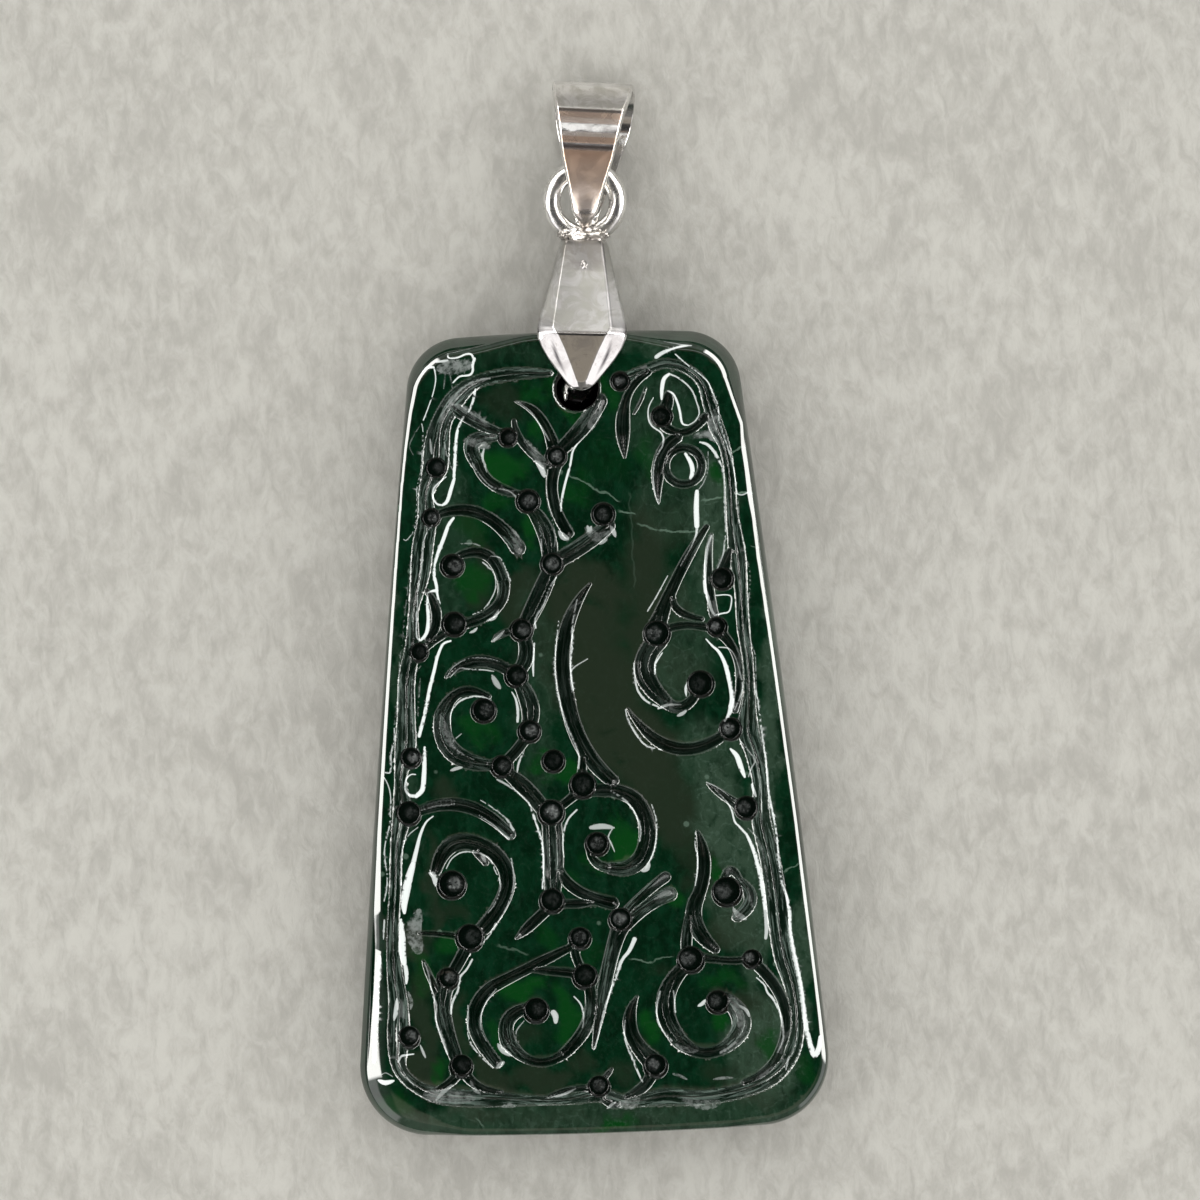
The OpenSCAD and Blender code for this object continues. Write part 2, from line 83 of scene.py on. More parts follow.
# Channel between the rim and the scrolls: x, y, width
CHANNEL = [
    (-1.2, 39.85, 0.3), (-3.2, 39.85, 0.6), (-5, 39.5, 0.6), (-6.1, 38.7, 0.9), (-6.9, 37.5, 0.95),
    (-7.2, 36.3, 1.2), (-7.35, 35.1, 1.2), (-7.85, 33.8, 0.7), (-7.85, 32.4, 0.9), (-8.1, 31, 1),
    (-8.3, 29.5, 0.9), (-8.7, 27.6, 0.45), (-8.8, 25.8, 0.7), (-9.15, 24.2, 0.8), (-9.25, 22.2, 0.85),
    (-9.35, 20.4, 1), (-9.65, 18.9, 0.55), (-9.6, 17.2, 0.9), (-9.95, 15.4, 0.6), (-10.1, 13.2, 0.55),
    (-10.3, 11, 0.6), (-10.3, 9, 0.75), (-10.15, 7.2, 0.95), (-10.2, 5.4, 1.1), (-10.2, 3.9, 0.7),
    (-9.4, 2.9, 0.6), (-8, 2.3, 0.8), (-5.8, 2.1, 0.8), (-3.6, 1.95, 0.5), (-1.6, 1.9, 0.45),
    (0.2, 2.1, 0.7), (1.8, 1.7, 0.5), (3.6, 1.9, 0.8), (5.6, 1.8, 0.7), (7.6, 2.1, 0.7), (9.3, 2.8, 0.8),
    (10.35, 4, 0.7), (10.65, 5.6, 0.7), (10.5, 7.4, 0.8), (10.1, 9, 1), (9.85, 10.8, 1), (9.7, 12.6, 1),
    (9.45, 14.4, 0.95), (9.1, 16.2, 0.9), (9.1, 18, 0.7), (8.9, 19.6, 0.9), (8.55, 21, 1),
    (8.65, 22.6, 0.6), (8.65, 24.4, 0.5), (8.45, 26.4, 0.6), (8.4, 28.2, 0.6), (8.25, 30.2, 0.8),
    (8.05, 32.2, 0.55), (8, 34, 0.5), (7.8, 35.6, 0.5), (7.4, 36.7, 0.7), (7.05, 37.9, 0.6),
    (6.7, 39.1, 0.5), (5.9, 39.85, 0.45), (4.8, 40.15, 0.45), (3.7, 39.85, 0.45), (2.6, 39.4, 0.5),
]

# Cuts of the scrollwork: start x, y, middle x, y, end x, y, width at the start, the middle and the end
CUTS = [
    (-6.3, 38.2, -5.3, 37.5, -4, 36.8, 0.6, 0.5, 0.5),
    (-4.2, 36.6, -5.35, 36.3, -5.05, 35.2, 0.4, 0.7, 0.6),
    (-5.05, 35.2, -4.4, 34.2, -3, 33.6, 0.6, 0.5, 0.3),
    (-3, 38.4, -1.85, 37.65, -1.15, 36.1, 0.08, 0.4, 0.6),
    (-3.15, 37.4, -2.7, 36.2, -1.5, 35.1, 0.2, 0.35, 0.5),
    (1.3, 38.3, 0.5, 37.1, -0.7, 35.9, 0.75, 0.75, 0.6), (-1, 35.2, -1.25, 33.4, -0.5, 31.5, 0.6, 0.5, 0.5),
    (-2.4, 32.8, -1.7, 31.6, -1.5, 30.2, 0.5, 0.8, 0.7), (1.6, 31.8, 0.4, 30.95, -1.2, 30, 0.6, 0.75, 0.7),
    (-1.5, 29.6, -2.15, 28.2, -2.9, 26.8, 0.7, 0.85, 0.7),
    (-3, 26.2, -2.9, 25.2, -3.3, 24.4, 0.6, 0.7, 0.6), (-4.6, 26, -4.1, 26.35, -3.5, 26.5, 0.1, 0.3, 0.3),
    (-3.3, 23.8, -2.8, 22.6, -2.85, 21.6, 0.6, 0.85, 0.7),
    (-3.05, 20.9, -3.5, 20.3, -4.1, 19.7, 0.5, 0.5, 0.5),
    (-4.1, 19.1, -3.1, 18.2, -2.3, 17.2, 0.5, 0.75, 0.7),
    (-1.85, 16.6, -1.8, 14.7, -1.9, 12.7, 0.9, 0.95, 0.7), (-0.4, 18, -1, 17.5, -1.6, 17.1, 0.5, 0.4, 0.4),
    (0.55, 28.8, -0.85, 26.1, -0.8, 22.8, 0.12, 0.65, 0.7),
    (-0.8, 22.8, -0.1, 20.4, 1.4, 18.5, 0.7, 0.75, 0.6), (0, 19.9, -0.15, 19.3, -0.15, 18.8, 0.3, 0.4, 0.5),
    (0.3, 18, 2.4, 17.6, 3.15, 15.8, 0.5, 0.7, 0.8), (3.15, 15.8, 2.6, 14.25, 1.2, 13.95, 0.8, 0.8, 0.55),
    (1.2, 13.95, 0.5, 14.2, 0.1, 14.8, 0.5, 0.4, 0.3), (-1.6, 14, -0.6, 12.85, 1.2, 12.1, 0.5, 0.5, 0.6),
    (-1.6, 12.2, -0.7, 12.15, 0.3, 12.2, 0.4, 0.4, 0.2),
    (-2.2, 11.9, -3, 11.2, -3.85, 10.45, 0.5, 0.5, 0.12),
    (-9, 17.1, -6.4, 17.45, -4, 15.85, 0.4, 0.6, 0.45),
    (-7.95, 14.1, -6.9, 15.5, -5.1, 15.1, 0.5, 0.75, 0.7),
    (-5.1, 15.1, -4.25, 13.3, -5.6, 11, 0.7, 0.7, 0.7),
    (-5.9, 15, -5.65, 14.8, -5.35, 14.45, 0.15, 0.3, 0.3),
    (-6.4, 10.2, -6.9, 9.3, -7.3, 8.7, 0.6, 0.55, 0.5), (-8.9, 10.85, -8, 10.8, -7, 10.65, 0.15, 0.25, 0.3),
    (-7.6, 8.2, -7.8, 6.6, -7.2, 4.3, 0.9, 0.75, 0.6), (-8.75, 9.4, -8.4, 8.5, -8, 7.6, 0.12, 0.3, 0.4),
    (-7.1, 3.5, -7.7, 2.9, -8.6, 2.5, 0.5, 0.4, 0.2), (-6.7, 3.4, -6, 2.7, -4.9, 2.4, 0.5, 0.4, 0.2),
    (-0.9, 9.95, -3.1, 8.95, -5.2, 7.95, 0.3, 0.5, 0.6),
    (-5.2, 7.95, -6.2, 6.2, -5.1, 3.95, 0.6, 0.65, 0.5), (-0.15, 7.9, -0.25, 6, -1.6, 4.3, 0.5, 0.6, 0.5),
    (-1.6, 4.3, -3.1, 3.95, -4.45, 5, 0.45, 0.4, 0.75), (-4.45, 5, -4.4, 6.2, -3.3, 6.8, 0.75, 0.65, 0.45),
    (-0.8, 8.5, -1.9, 8.65, -3.2, 8.8, 0.45, 0.4, 0.2), (-0.85, 9.8, -0.75, 9.3, -0.55, 8.8, 0.4, 0.4, 0.4),
    (1.6, 10.9, 0.85, 8.6, 0, 4.6, 0.85, 0.65, 0.12), (1.9, 11.6, 2.9, 12.55, 4, 13.4, 0.5, 0.45, 0.5),
    (1.9, 11, 3, 11.9, 4.2, 12.5, 0.6, 0.6, 0.7), (-0.2, 2.4, -1.2, 2.45, -2.6, 2.05, 0.4, 0.3, 0.1),
    (0.4, 2.9, 0.65, 3.15, 0.9, 3.45, 0.3, 0.25, 0.12), (0.3, 2.1, 0.7, 1.65, 1.2, 1.5, 0.4, 0.3, 0.2),
    (2.35, 7.2, 1.95, 5.5, 3, 3.8, 0.1, 0.65, 0.9), (3, 3.2, 2.5, 2.45, 1.6, 1.95, 0.6, 0.5, 0.3),
    (4.8, 8.6, 3.8, 6.8, 4.5, 4.8, 0.6, 0.85, 0.75), (4.5, 4.8, 5.7, 4.15, 7, 4.5, 0.75, 0.5, 0.6),
    (7, 4.5, 7.75, 5.7, 6.95, 6.95, 0.6, 0.9, 0.6), (8.7, 8.6, 10, 6.5, 9.8, 4.4, 0.5, 0.5, 0.4),
    (9.8, 4.4, 9.1, 3.2, 7.8, 2.5, 0.4, 0.5, 0.35), (5.8, 9.15, 7, 8.95, 8, 8.95, 0.4, 0.3, 0.35),
    (5.75, 15.75, 6.05, 14, 5.65, 12.3, 0.1, 0.6, 0.6), (5.65, 12.3, 5.5, 10.9, 6.5, 9.55, 0.65, 0.75, 0.4),
    (5, 9.5, 5.05, 10.4, 5.3, 11.4, 0.5, 0.5, 0.5), (7.9, 13.1, 8.4, 12.1, 7.7, 11.2, 0.3, 0.6, 0.5),
    (7, 13.1, 7.4, 13.65, 7.85, 13.2, 0.3, 0.4, 0.3), (6.35, 18.2, 7.2, 17.55, 8.1, 16.9, 0.08, 0.4, 0.6),
    (7.3, 20.75, 4.6, 20.15, 2.3, 22.25, 0.5, 0.6, 0.08),
    (3.95, 25.7, 3.25, 24.2, 4.3, 22.55, 0.9, 0.95, 0.6),
    (4.3, 22.55, 5.1, 22.25, 5.9, 22.9, 0.6, 0.5, 0.4), (4.4, 26.3, 5.5, 26.5, 6.8, 26.3, 0.4, 0.35, 0.4),
    (6.7, 31.6, 5.2, 29.2, 4, 26.6, 0.25, 0.5, 0.85), (4.8, 28.2, 5.1, 27.3, 6.3, 26.8, 0.3, 0.35, 0.25),
    (6.95, 31.2, 6.75, 29.4, 6.95, 27, 0.12, 0.35, 0.4), (7.9, 30.3, 7.55, 29.5, 7.45, 28.9, 0.3, 0.6, 0.7),
    (7.2, 26.1, 8.15, 24.4, 7.9, 22, 0.5, 0.35, 0.3),
    (-6.2, 30.5, -4.75, 30.45, -3.95, 29, 0.35, 0.5, 0.55),
    (-3.95, 29, -4.4, 27.7, -6, 26.95, 0.55, 0.5, 0.45),
    (-7.4, 32.6, -5.1, 32.65, -3.15, 30.8, 0.35, 0.55, 0.7),
    (-7.95, 28.7, -7.5, 27.4, -7.9, 26.2, 0.2, 0.45, 0.4),
    (-8.3, 25.7, -7.6, 26.15, -6.9, 26.6, 0.5, 0.35, 0.45),
    (-7.1, 24.2, -5.5, 24.95, -3.8, 24.4, 0.12, 0.55, 0.5),
    (-4.9, 23.1, -6.4, 23.35, -7.35, 22.2, 0.2, 0.45, 0.75),
    (-7.35, 22.2, -6.9, 20.3, -4.8, 19.5, 0.75, 0.85, 0.45),
    (3.75, 38.9, 3.45, 38.2, 3.1, 37.6, 0.08, 0.12, 0.08),
    (3.9, 39.75, 3, 38.9, 2.6, 37.8, 0.35, 0.35, 0.5), (2.6, 37.8, 2.5, 36.9, 2.55, 35.35, 0.5, 0.65, 0.1),
    (4.6, 37.6, 4.85, 38.1, 4.9, 38.7, 0.7, 0.55, 0.12),
    (4.7, 36.9, 5.7, 36.55, 6.8, 37.3, 0.45, 0.35, 0.4),
    (5.3, 36.3, 4.4, 35.1, 4.25, 32.95, 0.5, 0.65, 0.08),
]

# Pits drilled in the carving: x, y, radius
PITS = [
    (-3.5, 36.55, 0.5), (-1, 35.5, 0.55), (-2.55, 33.2, 0.62), (-7.3, 35.1, 0.55), (-7.65, 32.5, 0.5),
    (2.45, 39.3, 0.5), (4.55, 37.4, 0.55), (1.35, 32.4, 0.6), (-6.6, 29.95, 0.62), (-6.6, 26.9, 0.65),
    (-1.4, 29.9, 0.6), (-8.5, 25.5, 0.5), (-3.1, 26.5, 0.6), (-3.45, 24.1, 0.6), (-5.2, 22.35, 0.65),
    (-2.85, 21.2, 0.6), (7.45, 28.85, 0.6), (3.95, 26.1, 0.7), (7.1, 26.35, 0.52), (6.15, 23.4, 0.7),
    (-9.1, 20, 0.55), (-4.35, 19.4, 0.58), (-1.65, 19.6, 0.6), (-0.15, 18.3, 0.7), (-9.3, 17.1, 0.65),
    (-1.85, 16.9, 0.7), (-7.15, 13.3, 0.75), (-1.95, 12.3, 0.65), (7.65, 21, 0.6), (8.35, 16.85, 0.62),
    (0.5, 15.2, 0.62), (7.2, 12.5, 0.78), (1.6, 11.2, 0.62), (-6.3, 10.5, 0.72), (-7.5, 8.4, 0.58),
    (-9.65, 5.4, 0.58), (-2.95, 6.6, 0.66), (-6.95, 3.8, 0.6), (-0.55, 10.3, 0.58), (-0.35, 8.3, 0.65),
    (5.2, 9, 0.7), (8.4, 8.95, 0.5), (6.55, 6.75, 0.62), (3.2, 3.5, 0.62), (0.2, 2.5, 0.58),
]
PIT_DEPTH = 0.95
EYE = (5.6, 34.8, 0.95, 0.38)


# Painted highlight lines where edges, shoulders and the rim mirror the lamps, some of them on worn edges:
# brightness, width at the start, the middle and the end, then the points' x, y
WORN_HIGHLIGHTS = [
    (1, 0.12, 0.13, 0.08, -7.25, 40.33, -7.6, 40.3, -7.85, 40),
    (0.95, 0.08, 0.06, 0.07, -7.22, 40.3, -7.15, 39.7, -7.3, 39, -7.6, 38.2, -7.86, 37.6),
    (0.75, 0.07, 0.06, 0.05, -7.95, 37.4, -7.9, 37, -7.97, 36, -8.07, 35, -8.3, 34.1, -8.36, 33.2, -8.5, 32,
     -8.9, 31.4, -9.08, 31.42),
    (0.4, 0.05, 0.07, 0.05, -8.05, 37.3, -8.45, 36.7, -8.62, 36.25, -8.45, 35.8),
    (1, 0.08, 0.1, 0.13, -6.5, 41.2, -6.45, 40.8, -6, 40.78, -5.55, 40.95, -5.25, 40.92, -5.12, 40.6),
    (1, 0.15, 0.12, 0.08, -5.1, 40.7, -5.2, 40.4, -5.22, 40.05, -5.4, 39.86, -5.9, 39.8, -6.25, 39.5),
    (0.85, 0.1, 0.13, 0.1, -7.1, 40.6, -6.8, 40.62, -6.5, 40.66),
    (0.5, 0.08, 0.1, 0.05, -6.6, 40.5, -6.65, 39.9, -6.75, 39.2),
    (0.5, 0.05, 0.09, 0.05, -6.35, 40.4, -6.38, 39.8, -6.3, 39.2),
    (0.35, 0.06, 0.1, 0.06, -5.95, 40.6, -5.98, 40.2, -6, 39.9),
    (0.35, 0.06, 0.1, 0.06, -5.6, 40.7, -5.62, 40.3, -5.65, 39.95),
    (0.6, 0.12, 0.13, 0.08, -4.35, 39.66, -5, 39.58, -5.8, 39.2, -6.5, 38.4, -6.95, 37.8),
    (0.95, 0.1, 0.13, 0.06, -5.1, 39.12, -5.25, 38.5, -5.5, 37.95),
    (1, 0.1, 0.17, 0.15, -5.78, 37.7, -6.1, 37, -6.22, 36.2, -6.3, 35.3, -6.36, 34.6),
    (1, 0.15, 0.2, 0.12, -6.35, 34.5, -6.52, 34, -6.75, 33.35, -7, 33.14),
    (0.95, 0.1, 0.11, 0.07, -7, 33.14, -7.3, 33.22, -7.5, 33.6, -7.42, 34.05, -7.1, 34.35, -6.78, 34.6),
    (0.65, 0.05, 0.08, 0.06, -6.1, 38.2, -6.5, 37.5, -6.8, 36.7, -6.78, 36.1, -6.55, 35.3, -6.35, 34.8),
    (0.7, 0.05, 0.12, 0.1, -7.55, 36.6, -7.53, 36.2, -7.5, 35.85),
    (1, 0.13, 0.2, 0.13, -6.45, 32.45, -6.72, 32.1, -7, 31.4, -7.3, 30.7, -7.5, 30.1),
    (1, 0.11, 0.17, 0.04, -7.5, 30.1, -7.55, 29.5, -7.45, 28.95, -7.42, 28.5, -7.28, 28),
    (1, 0.06, 0.12, 0.2, -7.95, 28.58, -7.7, 28.68, -7.45, 28.7),
    (1, 0.06, 0.2, 0.13, -7.93, 28.5, -7.95, 27.9, -7.92, 27.2, -8.05, 26.5, -8.35, 26.15),
    (0.9, 0.12, 0.07, 0.06, -8.35, 26.15, -8.56, 26.3, -8.56, 27, -8.48, 28.2, -8.38, 29.2, -8.2, 30.2,
     -8.1, 31.1, -7.95, 31.6, -7.6, 32.1),
    (1, 0.1, 0.18, 0.17, -6.8, 26.06, -7.2, 25.9, -7.5, 25.3, -7.72, 24.5, -7.95, 23.7, -8.15, 22.8, -8.38,
     21.9, -8.6, 21.15),
    (1, 0.12, 0.25, 0.22, -8.33, 20.55, -8.36, 19.8, -8.42, 19, -8.52, 18.35, -8.85, 18.02),
    (0.95, 0.2, 0.1, 0.07, -8.85, 18.02, -9.2, 18.08, -9.42, 18.4, -9.35, 18.9, -9.1, 19.15, -8.85, 19.15),
    (0.6, 0.05, 0.06, 0.06, -8.4, 24.8, -8.85, 24.1, -8.95, 23, -8.95, 22, -8.9, 21.2, -8.65, 20.3),
    (0.5, 0.05, 0.1, 0.05, -8.45, 24.15, -8.55, 23.2, -8.62, 22.2),
    (0.95, 0.06, 0.16, 0.26, -8, 16.95, -8.4, 16.62, -8.7, 16, -8.9, 15.3, -9.12, 14.5),
    (1, 0.26, 0.42, 0.16, -9.12, 14.5, -9.35, 13.8, -9.55, 13, -9.66, 12.4, -9.66, 11.95),
    (0.8, 0.05, 0.07, 0.1, -8.8, 16.4, -9.35, 15.95, -9.68, 15.2, -9.78, 14.3, -9.8, 13.4),
    (1, 0.12, 0.38, 0.26, -9.85, 11.6, -9.82, 10.7, -9.85, 10, -9.76, 9.3),
    (0.95, 0.2, 0.22, 0.1, -9.7, 9.15, -9.65, 8.7, -9.68, 8.25),
    (0.5, 0.08, 0.2, 0.08, -9.6, 7.8, -9.45, 7.3, -9.5, 6.9),
    (1, 0.08, 0.24, 0.08, -10.22, 7.4, -10.27, 6.85, -10.4, 6.3),
    (0.95, 0.06, 0.12, 0.08, -9.4, 4.55, -9.8, 4.5, -10.08, 4.4, -10.25, 4.1),
    (0.7, 0.06, 0.14, 0.08, -9.05, 5, -8.92, 4.65, -8.8, 4.35),
    (0.7, 0.05, 0.08, 0.06, -10, 3.6, -9.75, 3.2, -9.45, 2.88),
    (1, 0.1, 0.26, 0.1, -11.3, 3.2, -10.95, 3.08, -10.5, 3.18),
    (0.6, 0.06, 0.06, 0.06, -11.2, 3.45, -10.9, 3.6, -10.55, 3.4),
    (0.8, 0.07, 0.08, 0.06, -10.7, 12.6, -10.55, 13.2, -10.5, 14, -10.6, 15, -10.52, 15.7, -10.3, 16.5,
     -10.2, 17.5, -10.2, 18.2, -10.32, 18.7, -10.5, 19.05),
    (0.8, 0.08, 0.1, 0.06, -10.42, 19.3, -10.15, 19.35, -10.1, 20.2, -9.9, 21, -9.88, 21.6),
    (0.55, 0.06, 0.06, 0.05, -9.87, 21.8, -9.7, 22.8, -9.56, 24, -9.5, 25, -9.3, 26.2, -9.15, 27.5, -9,
     28.5, -8.86, 29.5, -8.75, 30.3),
    (0.8, 0.08, 0.1, 0.06, -10.72, 11.6, -10.76, 11.1, -10.8, 10.6),
    (0.9, 0.2, 0.2, 0.1, 4.35, 40.5, 4.7, 40.72, 5.2, 40.9),
    (1, 0.1, 0.13, 0.1, 4.9, 40.8, 5.6, 41, 6.3, 41.08, 6.8, 40.98),
    (0.95, 0.07, 0.07, 0.07, 5.35, 40.62, 5.9, 40.1, 6.5, 39.62, 6.98, 39.15, 7.22, 38.6, 7.5, 37.8, 7.52,
     37.2, 7.75, 36.3, 8.05, 35.3),
    (0.8, 0.06, 0.07, 0.08, 8.05, 35.3, 8.2, 34.6, 8.28, 33.9, 8.35, 33.3, 8.6, 33.2, 8.88, 33.3),
    (0.6, 0.05, 0.07, 0.07, 8.38, 32.9, 8.42, 32, 8.55, 31, 8.66, 30.2, 8.88, 29.2, 8.85, 28.3, 8.75, 27.5,
     8.8, 26.4, 8.8, 25.6, 9.02, 24.9, 9.04, 24, 9.02, 23),
    (0.9, 0.07, 0.1, 0.13, 9.02, 23, 9.15, 22, 9.26, 20.8, 9.45, 19.2, 9.5, 18, 9.62, 17),
    (1, 0.13, 0.1, 0.14, 9.62, 17, 9.8, 16, 9.9, 15, 9.96, 14, 10.06, 13, 10.3, 12.2),
    (1, 0.14, 0.2, 0.24, 10.3, 12.2, 10.43, 11.4, 10.42, 10.5, 10.52, 9.6, 10.7, 8.6),
    (1, 0.24, 0.25, 0.26, 10.7, 8.6, 10.9, 7.4, 11.02, 6.2, 11.14, 5.2, 11.3, 4.4),
    (1, 0.26, 0.3, 0.16, 11.3, 4.4, 11.5, 3.85, 11.74, 4.2, 11.82, 4.8),
    (1, 0.1, 0.22, 0.12, 4.56, 38.3, 4.6, 38.85, 4.72, 39.35, 5, 39.6),
    (0.85, 0.1, 0.08, 0.07, 5, 39.6, 5.5, 39.36, 6.1, 38.8, 6.38, 38.1, 6.5, 37.5, 6.25, 37.1, 5.9, 36.9),
    (1, 0.07, 0.13, 0.07, 5.9, 36.9, 5.6, 37.02, 5.5, 37.6, 5.38, 38.1, 5.18, 38.55, 4.9, 38.72),
    (0.9, 0.05, 0.09, 0.1, 4.15, 38.4, 3.88, 37.9, 3.85, 37.3, 4.05, 36.9, 4.45, 36.6, 4.6, 36.3),
    (0.9, 0.1, 0.09, 0.06, 4.6, 36.3, 4.55, 35.9, 4.2, 35.3, 4.02, 34.5, 4.06, 33.5, 4.25, 32.85),
    (1, 0.14, 0.24, 0.16, 5.72, 35.42, 5.98, 34.95, 6.06, 34.5, 5.95, 34.15),
    (0.5, 0.05, 0.08, 0.05, 5.9, 35.4, 6.3, 35.25, 6.55, 34.8, 6.45, 34.3),
    (0.9, 0.1, 0.16, 0.08, 6.5, 36, 6.9, 35.85, 7.3, 35.35, 7.6, 34.7),
    (0.75, 0.1, 0.1, 0.08, 7.62, 34.6, 7.7, 33.6, 7.66, 32.6, 7.7, 31.6, 7.6, 30.6, 7.48, 30, 7.2, 29.4),
    (0.6, 0.06, 0.07, 0.06, 6.9, 35.5, 6.86, 34.6, 6.62, 33.9, 6.3, 33.5),
    (1, 0.2, 0.28, 0.26, 6.26, 33.45, 6.2, 32.6, 6.2, 31.65),
    (0.9, 0.16, 0.08, 0.06, 6.2, 31.6, 6.15, 31.2, 5.9, 30.6, 5.6, 30.1, 5.3, 29.6),
    (0.6, 0.1, 0.07, 0.08, 1.42, 38.4, 1.28, 37.6, 1, 36.95, 0.5, 36.5, 0.1, 36.1),
    (0.95, 0.08, 0.13, 0.1, 0.1, 36.1, -0.15, 35.7, -0.3, 35, -0.58, 34.1, -0.8, 33.2, -0.85, 32.65),
    (1, 0.1, 0.16, 0.19, 6.95, 31.12, 6.76, 30.6, 6.6, 29.7, 6.52, 28.8, 6.55, 28.25),
    (1, 0.2, 0.17, 0.1, 6.55, 28.25, 6.72, 27.7, 6.86, 27.2, 7, 26.97),
    (0.95, 0.1, 0.08, 0.07, 7, 26.97, 7.4, 27.06, 7.7, 27.12, 7.84, 27.4, 7.88, 27.9, 7.6, 28.02, 7.1, 28),
    (1, 0.07, 0.16, 0.24, 6.5, 25.75, 6.8, 25.4, 7.15, 25.05, 7.42, 24.5, 7.58, 23.9),
    (1, 0.24, 0.22, 0.34, 7.58, 23.9, 7.7, 23.2, 7.76, 22.6, 7.72, 22.2),
    (0.95, 0.32, 0.2, 0.1, 7.72, 22.2, 7.58, 21.8, 7.36, 21.4),
    (0.85, 0.06, 0.08, 0.09, 7.15, 25.3, 7.65, 25.22, 7.98, 24.8, 8.2, 24, 8.33, 23.2, 8.12, 22.5, 7.88,
     22),
    (0.45, 0.05, 0.06, 0.06, 7.9, 25.5, 8.3, 24.7, 8.5, 23.8, 8.56, 23, 8.4, 22.3, 8.1, 21.8),
    (1, 0.1, 0.28, 0.12, 7.6, 19.98, 7.92, 19.6, 8.12, 19, 8.3, 18.5),
    (0.7, 0.06, 0.1, 0.06, 8.15, 20.35, 8.5, 19.9, 8.86, 19.3, 8.64, 18.9, 8.5, 18.5),
    (0.9, 0.1, 0.16, 0.1, 8.66, 18.1, 8.74, 17.8, 8.86, 17.45),
    (0.75, 0.07, 0.07, 0.05, 6.3, 18.28, 6.8, 18.02, 7.3, 17.65, 7.8, 17.2),
    (0.95, 0.04, 0.1, 0.13, 6.75, 17.85, 7.3, 17.25, 7.56, 16.8, 7.7, 16.2, 7.95, 15.9, 8.3, 15.5),
    (1, 0.13, 0.22, 0.2, 8.3, 15.5, 8.56, 14.9, 8.8, 14.1, 8.98, 13.2, 9.1, 12.3, 9.16, 11.6),
    (0.8, 0.2, 0.22, 0.16, 9.16, 11.6, 9.2, 10.9, 9.2, 10.5, 9.14, 10.05),
    (0.5, 0.06, 0.12, 0.08, 8.4, 15.8, 8.85, 15.3, 9.1, 14.7, 9.2, 14, 9.35, 13, 9.42, 12),
    (0.9, 0.06, 0.13, 0.08, 8.6, 8, 9, 7.6, 9.15, 7.2, 9.5, 6.75, 9.8, 6, 9.92, 5.2, 9.88, 4.6, 9.6, 4),
    (0.9, 0.24, 0.12, 0.07, 2.3, 10.2, 2, 9.6, 1.6, 9.1, 1.2, 8.1, 0.8, 7.1, 0.5, 6.2, 0.25, 5.2, 0, 4.5),
    (0.85, 0.07, 0.1, 0.1, -1.2, 29.2, -1.6, 28.6, -1.9, 27.8, -2.35, 27.1, -2.35, 26.6),
    (0.9, 0.08, 0.12, 0.08, -2.45, 25.8, -2.5, 25.2, -2.55, 24.6, -2.55, 24.1),
    (0.85, 0.06, 0.14, 0.14, -3.7, 23.3, -3.5, 22.9, -3.42, 22.3, -3.45, 21.75),
    (0.7, 0.06, 0.08, 0.06, -2, 31.9, -1.92, 31.2, -1.92, 30.6),
    (0.7, 0.08, 0.09, 0.06, 0.3, 24.9, -0.5, 24.4, -0.62, 23.8, -0.56, 23.2),
    (0.95, 0.07, 0.1, 0.09, -0.15, 28, -0.42, 26.8, -0.5, 25.6, -0.6, 24.4, -0.5, 23.3),
    (0.85, 0.07, 0.1, 0.1, -1.15, 26.9, -1.3, 25.8, -1.42, 24.6, -1.35, 23.4, -1.15, 22.4, -0.9, 21.5, -0.5,
     20.5, -0.3, 19.8, -0.35, 19.2),
    (0.95, 0.08, 0.12, 0.09, -3, 17.5, -2.7, 16.6, -2.42, 15.6, -2.32, 14.7, -2.35, 13.8, -2.42, 13),
    (0.7, 0.1, 0.12, 0.08, -4.6, 18.75, -4, 18.4, -3.4, 17.9, -3, 17.5),
    (0.85, 0.09, 0.1, 0.06, -0.5, 17.05, -0.95, 16.6, -1.2, 16, -1.3, 15.2, -1.25, 14.6),
    (0.9, 0.06, 0.1, 0.08, 1.3, 17.95, 2.1, 17.4, 2.6, 16.6, 2.8, 15.9, 2.72, 15.3),
    (0.85, 0.06, 0.1, 0.1, 3.4, 17.2, 3.62, 16.4, 3.6, 15.4, 3.4, 14.6, 3, 13.9),
    (0.9, 0.05, 0.1, 0.06, 5.65, 15.7, 5.62, 15, 5.72, 14.4, 5.68, 13.6, 5.55, 12.9),
    (0.85, 0.1, 0.1, 0.08, 3.55, 7.4, 3.36, 6.6, 3.36, 6, 3.6, 5.4, 4.1, 4.8),
    (0.8, 0.08, 0.08, 0.06, 4.25, 7.4, 4.3, 6.8, 4.32, 6.3),
    (0.85, 0.05, 0.12, 0.08, 1.7, 6.1, 1.62, 5.2, 1.8, 4.5, 2.2, 3.4, 2.5, 2.7),
    (0.85, 0.07, 0.1, 0.08, -0.95, 7.3, -0.62, 6.9, -0.48, 6.3, -0.55, 5.6),
    (0.8, 0.07, 0.09, 0.08, -6.5, 7, -6.52, 6.2, -6.55, 5.6, -6.35, 4.9, -5.8, 4.2, -5.3, 3.7),
    (0.75, 0.06, 0.08, 0.06, -5, 7.8, -5.5, 7.2, -5.85, 6.4, -5.85, 5.7, -5.6, 5.1),
    (0.85, 0.06, 0.1, 0.1, -8.7, 9.3, -8.5, 8.6, -8.35, 7.7, -8.15, 7, -8.2, 6.3, -7.9, 5.3, -7.65, 4.5),
    (0.85, 0.1, 0.12, 0.12, -6.2, 9.4, -6.5, 8.9, -6.85, 8.5, -7, 7.8, -7.3, 7.2, -7.4, 6.6),
    (0.8, 0.16, 0.1, 0.08, -4.9, 11.2, -5.3, 10.6, -5.75, 10.1),
